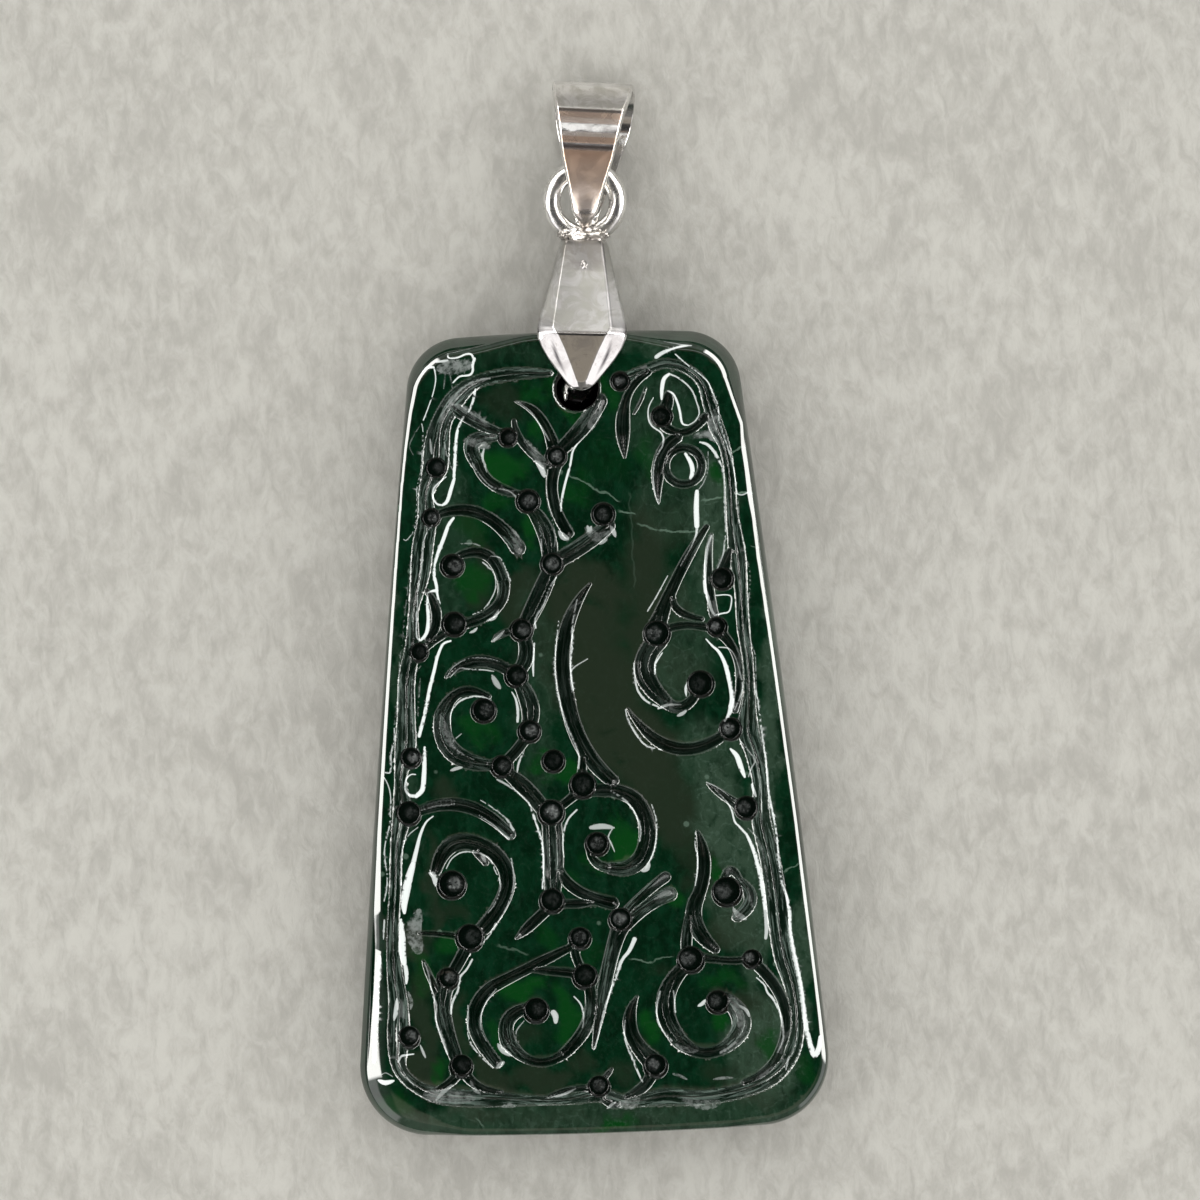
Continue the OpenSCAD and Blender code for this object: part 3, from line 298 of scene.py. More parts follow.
    (0.75, 0.08, 0.08, 0.08, -4, 14.6, -3.9, 13.7, -4, 12.9, -4.3, 12.1, -4.8, 11.3),
    (0.8, 0.06, 0.09, 0.06, -7.4, 14.2, -7.1, 14.7, -6.6, 15, -6, 15, -5.2, 14.7, -4.85, 14, -4.6, 13.2,
     -4.9, 12.3, -5.3, 11.8),
    (0.8, 0.06, 0.08, 0.14, -5.6, 16.9, -4.9, 16.4, -4.4, 15.9, -4.1, 15.65),
    (0.75, 0.06, 0.08, 0.1, -8.6, 17.25, -7.8, 17.45, -6.9, 17.5),
    (0.75, 0.06, 0.08, 0.16, -5.5, 17.7, -4.9, 17.3, -4.2, 16.7, -3.85, 16.1),
    (0.85, 0.05, 0.1, 0.07, -6.95, 21.7, -6.9, 22.3, -6.5, 22.85, -5.9, 23.1, -5.3, 23.1, -4.8, 22.9),
    (0.7, 0.05, 0.08, 0.06, -6.4, 21.2, -6.9, 20.7, -6.5, 20.2, -5.8, 19.8),
    (0.8, 0.08, 0.07, 0.06, -5, 30.1, -4.5, 29.6, -4.35, 29, -4.5, 28.4, -5, 27.7, -5.6, 27.4),
    (0.75, 0.06, 0.08, 0.1, -4.6, 30.4, -4.1, 30.3, -3.8, 29.7, -3.6, 29.1),
    (0.75, 0.05, 0.08, 0.05, -6.9, 24.15, -6.4, 24.6, -5.9, 24.55, -5.2, 24.5, -4.6, 24.4),
    (0.7, 0.05, 0.07, 0.05, -7.1, 24.1, -6.7, 24.7, -5.9, 25.1, -5, 25.1, -4.3, 24.9),
    (0.75, 0.05, 0.08, 0.1, -5.6, 35.8, -5.3, 35.1, -4.9, 34.5, -4.4, 34, -3.6, 33.8, -3.2, 33.5),
    (0.8, 0.06, 0.14, 0.06, -4.75, 36, -4.85, 35.5, -4.65, 34.8),
    (0.7, 0.05, 0.1, 0.1, -2.95, 38.4, -2.3, 37.9, -1.9, 37.3, -1.6, 36.8, -1.35, 36.35),
    (0.8, 0.08, 0.3, 0.2, -2.1, 35.3, -1.85, 35, -1.65, 34.5),
    (0.55, 0.07, 0.07, 0.07, -1.6, 33.8, -1.5, 33, -1.3, 32.2, -1.2, 31.3, -1.25, 30.8),
    (0.8, 0.08, 0.08, 0.06, 3.5, 27.3, 3.9, 27.9, 4.25, 28.5, 4.6, 29.1),
    (0.85, 0.07, 0.12, 0.09, 2.7, 24.6, 2.75, 23.7, 2.9, 23.1, 3.3, 22.6, 3.9, 22.3),
    (0.95, 0.06, 0.12, 0.07, 4.2, 25.1, 3.85, 24.6, 3.78, 24),
    (0.9, 0.05, 0.14, 0.05, 5.45, 23.5, 5.36, 23.2, 5.38, 22.8),
    (0.85, 0.1, 0.14, 0.05, 3.9, 22.2, 4.4, 22.35, 5.1, 22.35),
    (0.7, 0.1, 0.2, 0.1, 4.9, 21.8, 5.15, 21.9, 5.35, 22.05),
    (0.85, 0.06, 0.1, 0.07, 2.2, 22.2, 2.3, 21.7, 2.7, 20.9, 3.2, 20.3, 4, 20.05),
    (0.7, 0.2, 0.3, 0.1, 0.2, 16.1, 0.8, 16.15, 1.4, 16.05),
    (0.75, 0.05, 0.1, 0.05, 1.35, 16.05, 1.1, 15.6, 1.25, 15.2, 1.4, 14.8),
    (0.75, 0.1, 0.25, 0.1, 2.8, 13.75, 3.05, 13.85, 3.2, 14.1),
    (0.6, 0.1, 0.3, 0.3, 3.4, 12.2, 3.9, 12.5, 4.2, 12.5),
    (0.6, 0.06, 0.2, 0.16, 3.3, 12.9, 3.8, 13.3, 4.1, 13.4),
    (0.6, 0.1, 0.3, 0.2, 7.5, 11.7, 7.7, 11.3, 8.1, 11.1),
    (0.5, 0.1, 0.2, 0.1, 8.3, 12.7, 8.35, 12.2, 8.5, 11.7),
    (0.5, 0.06, 0.2, 0.06, 7.2, 13.3, 7.35, 13.7, 7.6, 13.4),
    (0.85, 0.06, 0.2, 0.1, 5.5, 6.6, 5.7, 6.7, 5.9, 6.9), (0.8, 0.1, 0.2, 0.12, 7.7, 6.5, 8, 6.3, 8.15, 6),
    (0.45, 0.3, 0.5, 0.2, 7.2, 7, 7.6, 6.2, 7.8, 5.2, 7.5, 4.5),
    (0.55, 0.12, 0.25, 0.1, 4.3, 4.6, 4.8, 4.3, 5.4, 4.2),
    (0.7, 0.1, 0.14, 0.1, 6.6, 4.1, 7, 4.3, 7.4, 4.6),
    (0.45, 0.08, 0.16, 0.08, 6.2, 2.75, 6.7, 2.8, 7.2, 2.8),
    (0.5, 0.08, 0.16, 0.08, 4.1, 3.1, 4.4, 3, 4.8, 2.8),
    (0.55, 0.08, 0.18, 0.08, 8.4, 2.6, 8.9, 2.9, 9.5, 3.4),
    (0.75, 0.06, 0.12, 0.06, 10, 3.1, 10.1, 3.5, 10.2, 3.8),
    (0.7, 0.08, 0.3, 0.08, -5, 4.95, -4.75, 4.6, -4.3, 4.3),
    (0.8, 0.3, 0.32, 0.2, -2.05, 6.5, -1.95, 6.3, -1.95, 6),
    (0.6, 0.06, 0.08, 0.06, -4.05, 5, -4, 5.6, -3.6, 6.1),
    (0.7, 0.08, 0.25, 0.06, -5.1, 3.7, -4.9, 3.85, -4.7, 4),
    (0.65, 0.1, 0.22, 0.08, -8.3, 2.1, -7.9, 2.5, -7.45, 2.85),
    (0.55, 0.08, 0.22, 0.08, -6.5, 3, -6.3, 2.6, -6, 2.3),
    (0.5, 0.08, 0.25, 0.08, -4.9, 1.65, -4.5, 1.7, -4.2, 1.65),
    (0.7, 0.04, 0.14, 0.05, -2.6, 2, -1.8, 2.15, -1, 2.45),
    (0.7, 0.06, 0.16, 0.06, 0.6, 1.4, 0.85, 1.55, 1.05, 1.7),
    (0.5, 0.05, 0.1, 0.05, 0.6, 3, 0.75, 3.2, 0.9, 3.35),
    (0.55, 0.06, 0.08, 0.06, -6.1, 31.1, -5.5, 31.1, -5.1, 30.95),
    (0.8, 0.05, 0.16, 0.05, -4.65, 25.95, -4.3, 26.2, -4, 26.5),
    (0.75, 0.05, 0.2, 0.05, -4.9, 27.05, -4.5, 27.2, -4.25, 27.6),
    (0.75, 0.06, 0.16, 0.06, -5.8, 26.45, -5.55, 26.55, -5.4, 26.7),
    (0.65, 0.1, 0.3, 0.1, -4.7, 24.2, -4.5, 23.8, -4.3, 23.5),
    (0.7, 0.1, 0.2, 0.08, -7, 19.3, -6.7, 19.4, -6.4, 19.45),
    (0.8, 0.06, 0.12, 0.05, -3.55, 19.1, -3.45, 19.6, -3.15, 20.2),
    (0.85, 0.06, 0.3, 0.08, -8.3, 14, -8.05, 13.8, -8, 13.3),
    (0.8, 0.06, 0.2, 0.06, -5.6, 14.95, -5.45, 14.65, -5.35, 14.45),
    (0.7, 0.06, 0.25, 0.08, 0.5, 31.85, 0.6, 31.6, 0.7, 31.8),
    (0.7, 0.08, 0.35, 0.08, -1, 31.6, -0.75, 31.3, -0.5, 31.2),
    (0.6, 0.06, 0.25, 0.06, 1.1, 30.85, 1.3, 31, 1.5, 31.1),
    (0.7, 0.06, 0.25, 0.06, 1.7, 31.8, 1.85, 31.5, 1.95, 31.2),
    (0.5, 0.4, 0.75, 0.4, -6.9, 40.25, -6.2, 40.3, -5.4, 40.38),
    (0.5, 0.15, 0.34, 0.3, -4.5, 39.66, -5.6, 39.25, -6.4, 38.5, -6.95, 37.5),
    (0.5, 0.1, 0.4, 0.2, -6.3, 38.4, -5.5, 37.95, -4.5, 37.2),
    (0.52, 0.2, 0.5, 0.2, -5.6, 36.4, -5.1, 36.3, -4.5, 36.1),
    (0.5, 0.2, 0.4, 0.3, -2.6, 36.4, -2.1, 35.7, -1.7, 35),
    (0.5, 0.2, 0.5, 0.3, 7.3, 37.6, 7.2, 36.8, 7.1, 36.2),
    (0.5, 0.2, 0.4, 0.2, 6.2, 36.3, 6.9, 36.4, 7.4, 36),
    (0.5, 0.3, 0.5, 0.3, 1.3, 38.1, 1.1, 37.5, 0.8, 37),
    (0.5, 0.3, 0.5, 0.2, 0.5, 31.7, 1, 31.2, 1.8, 31.5),
    (0.5, 0.2, 0.45, 0.2, -3.4, 31.7, -3.2, 31.1, -3.15, 30.5),
    (0.5, 0.1, 0.5, 0.2, -7.5, 22.2, -7.2, 21.2, -6.6, 20.2),
    (0.48, 0.3, 0.8, 0.5, -8.9, 12, -9.2, 11, -9, 10),
    (0.45, 0.3, 0.7, 0.4, -6.4, 2.1, -7.6, 2.2, -8.8, 2.4),
    (0.45, 0.2, 0.5, 0.3, 1, 1.6, 1.8, 1.55, 2.2, 1.8), (0.45, 0.2, 0.5, 0.3, 4.6, 1.7, 5.6, 1.4, 6.4, 1.5),
    # Painted reflection of the left lamp: a wide white band on the lower left rim
    (1, 0.12, 0.31, 0.2, -11.03, 9.7, -11.07, 9.4, -11.21, 8.1, -11.31, 6.9, -11.4, 5.6, -11.5, 4.2),
]

# Patches in the stone: x, y, half length, half width, lean in degrees, strength
BROWN = [
    (0.3, 27.6, 2, 2.6, 0, 1), (0.9, 23.4, 2.2, 3.2, 20, 1), (2.5, 20.3, 2, 3, 40, 1),
    (4.2, 17.4, 1.5, 2.8, 25, 0.9), (5.6, 14.6, 1.1, 2.6, 15, 0.6), (3.5, 29.5, 1, 3.4, 0, 0.95),
    (3.2, 25.4, 0.9, 2.2, 0, 0.9), (4.6, 27.6, 0.9, 1.6, -30, 0.6), (5.1, 24.2, 1.2, 1.4, 0, 0.6),
    (4.6, 31.6, 1.3, 1.4, 0, 0.5), (-1.7, 25.5, 0.9, 3, 5, 0.6), (-3.3, 28.4, 0.7, 1.8, -25, 0.8),
    (-5.2, 30.6, 0.5, 2.2, 10, 0.5), (-5.2, 28.4, 0.8, 0.8, 0, 0.6), (-7.6, 18.2, 0.6, 0.7, 0, 0.7),
    (-9, 10.4, 0.7, 0.9, 0, 1), (-8.9, 6.3, 0.6, 3, 5, 0.8), (-9, 3.6, 1.3, 0.9, 0, 0.9),
    (-7, 6, 0.4, 1.8, 0, 0.7), (-5.4, 3.4, 1.2, 0.6, -30, 0.8), (-3, 3.1, 1.6, 0.7, 0, 0.8),
    (-6.6, 1.4, 1.6, 0.35, 0, 0.9), (-0.6, 3.7, 0.8, 0.6, 0, 0.6), (1.6, 3.2, 0.7, 0.9, 0, 0.5),
    (7.4, 10.6, 1.4, 1.2, 10, 0.9), (8.6, 5.6, 0.9, 2.2, 20, 0.85), (7.2, 3.2, 1.6, 0.6, 0, 0.5),
    (8.8, 1.7, 1.2, 0.5, 15, 0.9), (-3.6, 38.3, 1.1, 0.9, 0, 0.5), (-8.1, 13.2, 0.4, 2.6, 0, 0.7),
    (-7.2, 11.9, 1, 0.5, -20, 0.5), (3.3, 8.6, 0.7, 0.5, 0, 0.3), (-2.6, 1, 3, 0.5, 0, 0.4),
    (3, 1, 2, 0.4, 0, 0.4), (0.6, 29.3, 1.5, 0.9, 0, 0.9), (-3.6, 5.3, 1, 0.6, 0, 0.5),
]
GREEN = [
    (-3.6, 35, 1.3, 0.8, 0, 1), (-1.8, 36.8, 0.6, 0.7, 30, 0.9), (-5.4, 29.2, 0.9, 1, 0, 0.8),
    (-5.4, 21.4, 1.1, 0.7, 0, 0.7), (1.9, 15.4, 0.9, 1.2, 0, 1), (0.6, 14.2, 0.8, 0.5, 0, 0.5),
    (-2.4, 19.8, 0.6, 0.6, 0, 0.9), (-1.2, 18.9, 1, 0.5, 10, 0.9), (2.9, 5.4, 0.5, 1, 0, 1),
    (6.8, 5.6, 0.4, 0.5, 0, 1), (-3.6, 7.9, 1.5, 0.5, 15, 1), (-1.4, 6.4, 0.6, 1.3, 0, 0.9),
    (4.6, 12.3, 0.5, 0.7, 0, 0.9), (6.5, 13.6, 0.3, 0.7, 0, 1), (1.2, 0.5, 1.1, 0.3, 0, 1),
    (7.5, 34, 0.4, 0.8, 0, 0.9), (-7.3, 10, 0.6, 0.6, 0, 0.8), (-7.9, 3.8, 0.4, 0.7, 0, 1),
    (-1.9, 39, 1, 0.6, -20, 0.7), (-0.2, 37.9, 0.9, 0.4, -30, 0.8), (0.1, 33.6, 0.7, 0.9, 0, 0.6),
    (-2.3, 31.8, 0.4, 0.9, 0, 0.9), (-4.4, 33.4, 0.8, 0.4, 0, 0.7), (1.7, 38.6, 0.4, 1.2, 10, 0.7),
    (-1.2, 13.4, 0.8, 0.5, 0, 0.4), (-2.3, 10.6, 0.6, 0.9, 0, 0.5), (9.3, 4.4, 0.4, 0.9, -20, 0.8),
    (6.8, 7.9, 1.3, 0.4, 0, 0.6), (-10.6, 1.9, 1, 0.4, -40, 0.6), (-5, 5.3, 0.3, 0.7, 0, 0.6),
    (3.7, 35.2, 0.5, 1.2, 0, 0.5), (-5.4, 31.8, 0.9, 0.7, 0, 0.4), (-8.9, 8.8, 0.5, 1.4, 0, 0.6),
    (1.5, 35.2, 1.2, 1, 0, 0.2), (-0.2, 9.8, 0.9, 0.8, 0, 0.3), (11, 3, 0.6, 0.8, 0, 0.5),
]
CLOUDY = [
    (7.2, 16.4, 1.4, 3.4, 15, 1), (6.8, 20, 2, 1.6, 0, 0.7), (5.6, 26, 1.5, 3.2, 0, 0.45),
    (7, 31.5, 1.2, 3.5, 0, 0.95), (4.8, 33.6, 1.6, 2.6, 0, 0.35), (7.9, 11.6, 1.5, 2.6, 10, 0.7),
    (9.6, 20, 0.6, 14, -5, 0.9), (10.8, 8, 0.7, 6, -8, 0.85), (0, 1, 11.5, 1, 0, 0.5),
    (3, 41.2, 4, 0.5, 0, 0.5), (4.5, 37.5, 2.2, 2.2, 0, 0.35), (8.9, 4.2, 2, 2.6, 0, 0.95),
    (5, 24.4, 1.6, 1.6, 0, 0.5), (-9.6, 24, 0.3, 9, 4, 0.4), (-7, 32, 1.2, 5, 0, 0.3),
    (-2.5, 23, 1, 6, 0, 0.3), (-2.2, 40.9, 3.5, 0.6, 0, 0.2),
]

# Hairline veins: x, y at one end, x, y at the other, strength
VEINS = [
    (-0.4, 34.5, 2.3, 33.1, 0.6), (2.1, 32.55, 3, 32.3, 0.7), (3.1, 31.85, 4.2, 31.5, 0.5),
    (4.2, 31.5, 6.2, 31.3, 0.6), (6.5, 33, 7.6, 33.1, 0.7), (8.2, 33.2, 9.2, 33.3, 0.9),
    (2, 9.15, 3.2, 9, 0.6), (3.2, 9, 4.3, 9.25, 0.5), (8.1, 35.4, 8.8, 35.7, 0.7),
    (10.2, 13.4, 11, 13.95, 0.6), (-4.9, 10.1, -3.3, 9.6, 0.35), (2.75, 33.5, 2.85, 28.5, 0.12),
    (-6.3, 1.1, -5.8, 0.6, 0.4), (-11.4, 8.7, -10.9, 8.1, 0.2), (9, 30.6, 9.5, 30.4, 0.5),
]

# Places where the cuts are frosted: x, y, half width, half height, how much
FROSTED = [
    (-5.2, 36.6, 1.6, 1.3, 0.9), (-6, 38.6, 1.2, 1, 1), (-1.9, 14.5, 0.6, 2.2, 0.65),
    (0.8, 8, 0.9, 2.6, 0.85), (3.2, 12.2, 1.6, 1.1, 0.95), (7.4, 5.3, 1.2, 1.6, 1),
    (-7.6, 6.3, 0.7, 2.4, 0.7), (-5.7, 5, 0.9, 1.3, 0.8), (0.8, 37.2, 0.9, 0.9, 0.6),
    (-3.2, 24, 0.6, 2.4, 0.6), (-4, 5, 1, 1.2, 0.9), (-0.4, 6, 0.5, 1.4, 0.8), (0.6, 31.2, 1.4, 0.8, 0.8),
    (-7.6, 21.5, 0.9, 1.6, 0.75), (-5.9, 20, 1.3, 0.8, 0.7), (1.3, 14, 1.4, 0.5, 0.7),
    (4, 4.9, 0.9, 0.9, 0.7), (5.2, 10.4, 0.5, 1.2, 0.6), (-1.6, 32.4, 0.6, 1.6, 0.6),
    (4.6, 22.4, 1, 0.5, 0.7), (-3.4, 31.4, 0.6, 0.7, 0.85), (-4, 29.2, 0.5, 1.2, 0.8),
    (-5, 27.2, 1.2, 0.5, 0.7), (-4.1, 16.1, 0.6, 0.7, 0.8), (6.3, 30, 0.8, 1.6, 0.6),
    (7.7, 12.1, 0.9, 1.2, 1), (-2, 36, 0.6, 1.2, 0.7), (9.4, 4.6, 0.7, 2.6, 0.7),
    (-6.2, 9.6, 0.6, 0.8, 0.6), (8, 24, 0.6, 2.4, 0.5), (1.4, 19.2, 1, 0.8, 0.5),
]
RIM_DROP = 1.15
# Where the worn bevel along the front rim catches light, measured in from the outline: y, near, far
LEFT_BEVEL = [
    (0, 0.42, 0.8), (3, 0.42, 1.15), (5, 0.42, 1.25), (8, 0.4, 1.22), (10, 0.38, 1.1), (12, 0.33, 0.72),
    (14, 0.3, 0.56), (16, 0.26, 0.45), (18, 0.25, 0.42), (22, 0.22, 0.38), (26, 0.19, 0.34),
    (30, 0.14, 0.3), (34, 0.12, 0.27), (36, 0.17, 0.31), (38, 0.27, 0.42), (39.4, 0.42, 0.6),
    (40.5, 0.62, 0.82), (42, 0.8, 1.05),
]
RIGHT_BEVEL = [
    (0, 0.3, 0.5), (3, 0.2, 0.42), (5.6, 0.2, 0.36), (8, 0.22, 0.36), (12, 0.26, 0.4), (16, 0.24, 0.38),
    (20, 0.28, 0.42), (25, 0.3, 0.45), (30, 0.33, 0.52), (31.9, 0.31, 0.47), (33.2, 0.39, 0.54),
    (34.4, 0.33, 0.49), (35.6, 0.36, 0.5), (36.9, 0.23, 0.38), (38, 0.48, 0.62), (39.4, 0.76, 0.92),
    (40.6, 0.76, 0.94), (42, 0.8, 1),
]
# The bevel narrows along the middle of the top and the bottom edge: half width there, how softly it ends
NARROW_TOP = (6.2, 4.5)
NARROW_BOTTOM = (9.8, 3.5)
NARROW_BEVEL = 0.15
# Slope of the bevel at the outline and at its inner end, and the least height of the turn down to the side
BEVEL_STEEP = 0.6
BEVEL_GENTLE = 0.33
LEAST_TURN = 0.25
# The wheel's cuts: slope of their walls, how round their lips and floors are, and how deep they may go
WALL_SLOPE = 2.4
CHANNEL_SLOPE = 1.3
EDGE = 0.05
BLUNT = 0.2
CUT_FLOOR = 0.62
FLOOR_BEND = 0.06
CHANNEL_FROST = 0.8
SCROLL_FROST = 0.32
EYE_FROST = 0.45
# The drill's pits: slope of their walls, how round their lip is, how hollow their floor is
PIT_SLOPE = 20
PIT_EDGE = 0.05
PIT_HOLLOW = 0.02
PIT_BEND = 0.3
# Polishing sinks the stone a little round every cut, and rounds the lip of the through hole
PILLOW_DEPTH = 0.035
PILLOW_REACH = 1.3
HOLE_LIP = 0.12
HOLE_LIP_EDGE = 0.16
HOLE_LIP_SLOPE = 0.35
# Brightness of the painted highlights on the cuts' edges and the pits' rims, and of the painted reflection on
# the pits' floors, and the thinnest painted highlight line
EDGE_GLEAM = 0.34
PIT_RIM_GLEAM = 0.2
PIT_FLOOR_GLEAM = 0.66
THINNEST_LINE = 0.02
# Steps of the mesh along the cuts and in its grid, and how many points the front has
STATION = 0.14
FINE_STEP = 0.04
FRONT_POINTS = 84000


def arc(cx, cy, r, a0, a1, n):
    """Points from a0 to a1 degrees round a circle."""
    a = np.radians(np.linspace(a0, a1, n + 1))
    return np.stack([cx + r * np.cos(a), cy + r * np.sin(a)], axis=1)


def bowed(p, q, n, bow):
    """Points between p and q on an edge that bows outward."""
    t = np.linspace(0, 1, n + 1)[1:-1, None]
    d = q - p
    out = np.array([d[1], -d[0]]) / max(np.linalg.norm(d), 1e-9)
    return p + d * t + out * bow * 4 * t * (1 - t)


def outline():
    """The plaque's outline, anticlockwise from the bottom right corner."""
    taper = math.degrees(TAPER)
    side = BOTTOM_W / 2 * math.cos(TAPER)
    low, high = BOW, PLAQUE_L - BOW
    xb = (side - BOTTOM_R - (low + BOTTOM_R) * math.sin(TAPER)) / math.cos(TAPER)
    xt = (side - TOP_R - (high - TOP_R) * math.sin(TAPER)) / math.cos(TAPER)
    br = arc(xb, low + BOTTOM_R, BOTTOM_R, -90, taper, 36)
    tr = arc(xt, high - TOP_R, TOP_R, taper, 90, 30)
    tl = arc(-xt, high - TOP_R, TOP_R, 90, 180 - taper, 30)
    bl = arc(-xb, low + BOTTOM_R, BOTTOM_R, 180 - taper, 270, 36)
    return np.concatenate([
        br, bowed(br[-1], tr[0], 110, BOW), tr, bowed(tr[-1], tl[0], 40, BOW),
        tl, bowed(tl[-1], bl[0], 110, BOW), bl, bowed(bl[-1], br[0], 60, BOW),
    ])


def inset_of(x, y):
    """How far each point lies inside the outline."""
    s, c = math.sin(TAPER), math.cos(TAPER)
    x = np.abs(x)
    end = (BOTTOM_W / 2 * c - BOTTOM_R - (BOW + BOTTOM_R) * s) / c
    top = (BOTTOM_W / 2 * c - TOP_R - (PLAQUE_L - BOW - TOP_R) * s) / c

    def arch(t):
        return BOW * 4 * np.clip(t, 0, 1) * np.clip(1 - t, 0, 1)

    straight = PLAQUE_L - 2 * BOW - BOTTOM_R - TOP_R
    side = BOTTOM_W / 2 * c - x * c - y * s + arch((y - BOW - BOTTOM_R) / straight)
    down = y - BOW + arch(0.5 + x / (2 * end))
    up = PLAQUE_L - BOW - y + arch(0.5 + x / (2 * top))

    def corner(gap, r, lean):
        a, b = r - side, r - gap
        round_part = r - np.sqrt(np.maximum(a * a + b * b - 2 * a * b * lean, 0) / (1 - lean * lean))
        return np.where((a - b * lean > 0) & (b - a * lean > 0), round_part, np.minimum(side, gap))

    return np.where(y < PLAQUE_L / 2, corner(down, BOTTOM_R, -s), corner(up, TOP_R, s))


def looked_up(table, at, column=1):
    """A table's column where its first column is at, with straight lines between the rows."""
    rows = np.array(table)
    return np.interp(at, rows[:, 0], rows[:, column])


def bevel(x, y):
    """Near and far edge of the bright line on the rim's bevel, measured in from the outline."""
    across = smooth_step(0.5 + x / 8)
    ends = 0
    for (half, soft), beyond in ((NARROW_TOP, y - (PLAQUE_L - 2)), (NARROW_BOTTOM, 2 - y)):
        ends = np.maximum(ends, smooth_step((half - np.abs(x)) / soft) * smooth_step(beyond / 0.5))
    out = []
    for k in (1, 2):
        left, right = looked_up(LEFT_BEVEL, y, k), looked_up(RIGHT_BEVEL, y, k)
        side = left + (right - left) * across
        out.append(side + (NARROW_BEVEL * k - side) * ends)
    return out


def bevel_drop(inset, near, far):
    """Drop of the bevel: its slope falls evenly from the outline inward."""
    fall = (BEVEL_STEEP - BEVEL_GENTLE) / (far - near)
    width = near + BEVEL_STEEP / fall
    return fall * np.maximum(width - inset, 0) ** 2 / 2


def rim_drop(inset, near, far):
    """Drop of the whole rim: the bevel, and the steep turn down to the side."""
    turn = np.clip(1 - inset / near, 0, 1)
    height = np.maximum(RIM_DROP - bevel_drop(0, near, far), LEAST_TURN)
    return bevel_drop(inset, near, far) + height * (1 - np.sqrt(1 - turn ** 2))


def soft_ramp(x, edge):
    """Zero below -edge, x above edge, and a round bend between."""
    return np.where(x > edge, x, np.where(x < -edge, 0.0, (x + edge) ** 2 / (4 * edge)))


def smooth_step(x):
    """From 0 to 1 with soft ends."""
    x = np.clip(x, 0, 1)
    return x * x * (3 - 2 * x)


def stroke(row, t):
    """Point and width at t along a cut through three points."""
    a, b, c = (1 - t) * (1 - 2 * t), 4 * t * (1 - t), t * (2 * t - 1)
    end_w = row[6] if t < 0.5 else row[8]
    width = end_w + (row[7] - end_w) * (1 - (1 - 2 * t) ** 2)
    return a * row[0] + b * row[2] + c * row[4], a * row[1] + b * row[3] + c * row[5], width


def chain(rows, n):
    """Smooth curve through the rows, with n steps from each row to the next."""
    rows = np.array(rows)
    ends = len(rows) - 1
    out = []
    for i in range(ends):
        p, q, r, s = rows[max(i - 1, 0)], rows[i], rows[i + 1], rows[min(i + 2, ends)]
        for k in range(n):
            t = k / n
            out.append((2 * q + (r - p) * t + (2 * p - 5 * q + 4 * r - s) * t ** 2
                        + (3 * q - p - 3 * r + s) * t ** 3) / 2)
    out.append(rows[-1])
    return out


def wheel_cuts():
    """Every path of the wheel: its points with half widths, the slope of its walls and how frosted it is."""
    cuts = [(chain(CHANNEL, 4), CHANNEL_SLOPE, CHANNEL_FROST)]
    for row in CUTS:
        n = max(4, int(math.hypot(row[4] - row[0], row[5] - row[1]) / STATION))
        cuts.append(([stroke(row, i / n) for i in range(n + 1)], WALL_SLOPE, SCROLL_FROST))
    cuts.append(([(*p, EYE[3]) for p in arc(EYE[0], EYE[1], EYE[2], 0, 360, 40)], WALL_SLOPE, EYE_FROST))
    return [(np.array(path) * (1, 1, 0.5), slope, frost) for path, slope, frost in cuts]


wheel = wheel_cuts()
worn_highlights = []
for painted_gleam, w0, w1, w2, *line in WORN_HIGHLIGHTS:
    path = np.array(chain(np.reshape(line, (-1, 2)), 4))
    t = np.linspace(0, 1, len(path))
    half = ((1 - t) * (1 - 2 * t) * w0 + 4 * t * (1 - t) * w1 + t * (2 * t - 1) * w2) / 2
    worn_highlights.append((np.column_stack([path, np.maximum(half, THINNEST_LINE)]), painted_gleam))


class Field:
    """Points of the front sorted by y, so that those near a cut are found quickly."""

    def __init__(self, x, y):
        self.x, self.y = x, y
        self.order = np.argsort(y)
        self.sorted_y = y[self.order]

    def near(self, x0, y0, x1, y1, reach):
        """Which points lie within reach of the box between two corners."""
        lo = np.searchsorted(self.sorted_y, min(y0, y1) - reach)
        hi = np.searchsorted(self.sorted_y, max(y0, y1) + reach)
        rows = self.order[lo:hi]
        return rows[(self.x[rows] > min(x0, x1) - reach) & (self.x[rows] < max(x0, x1) + reach)]

    def along(self, path, reach):
        """For each step of a path: the points near it, their distance, side, half width and place along."""
        start = 0.0
        for a, b in zip(path, path[1:]):
            rows = self.near(a[0], a[1], b[0], b[1], max(a[2], b[2]) + reach)
            px, py = self.x[rows] - a[0], self.y[rows] - a[1]
            dx, dy = b[0] - a[0], b[1] - a[1]
            length = max(math.hypot(dx, dy), 1e-6)
            t = np.clip((px * dx + py * dy) / length ** 2, 0, 1)
            dist = np.hypot(px - t * dx, py - t * dy)
            side = np.where(dx * py - dy * px > 0, 1.0, -1.0)
            yield rows, dist, side, a[2] + (b[2] - a[2]) * t, start + length * t
            start += length


def groove(dist, half, slope):
    """Depth of a cut at a distance from its middle line."""
    across = half * (1 + 0.4 * BLUNT) - np.sqrt(dist ** 2 + (BLUNT * half) ** 2)
    return CUT_FLOOR - soft_ramp(CUT_FLOOR - slope * soft_ramp(across, EDGE), FLOOR_BEND), across


def pit(dist, r):
    """Depth of a pit at a distance from its middle: its wall and its floor, with a soft bend between."""
    wall = PIT_SLOPE * soft_ramp(r - dist, PIT_EDGE)
    bowl = PIT_DEPTH * (1 - PIT_HOLLOW * (dist / r) ** 2)
    blend = np.clip(0.5 + (bowl - wall) / PIT_BEND, 0, 1)
    cut = bowl * (1 - blend) + wall * blend - PIT_BEND / 2 * blend * (1 - blend)
    return np.where(dist > r + PIT_EDGE, 0, np.maximum(cut, 0))


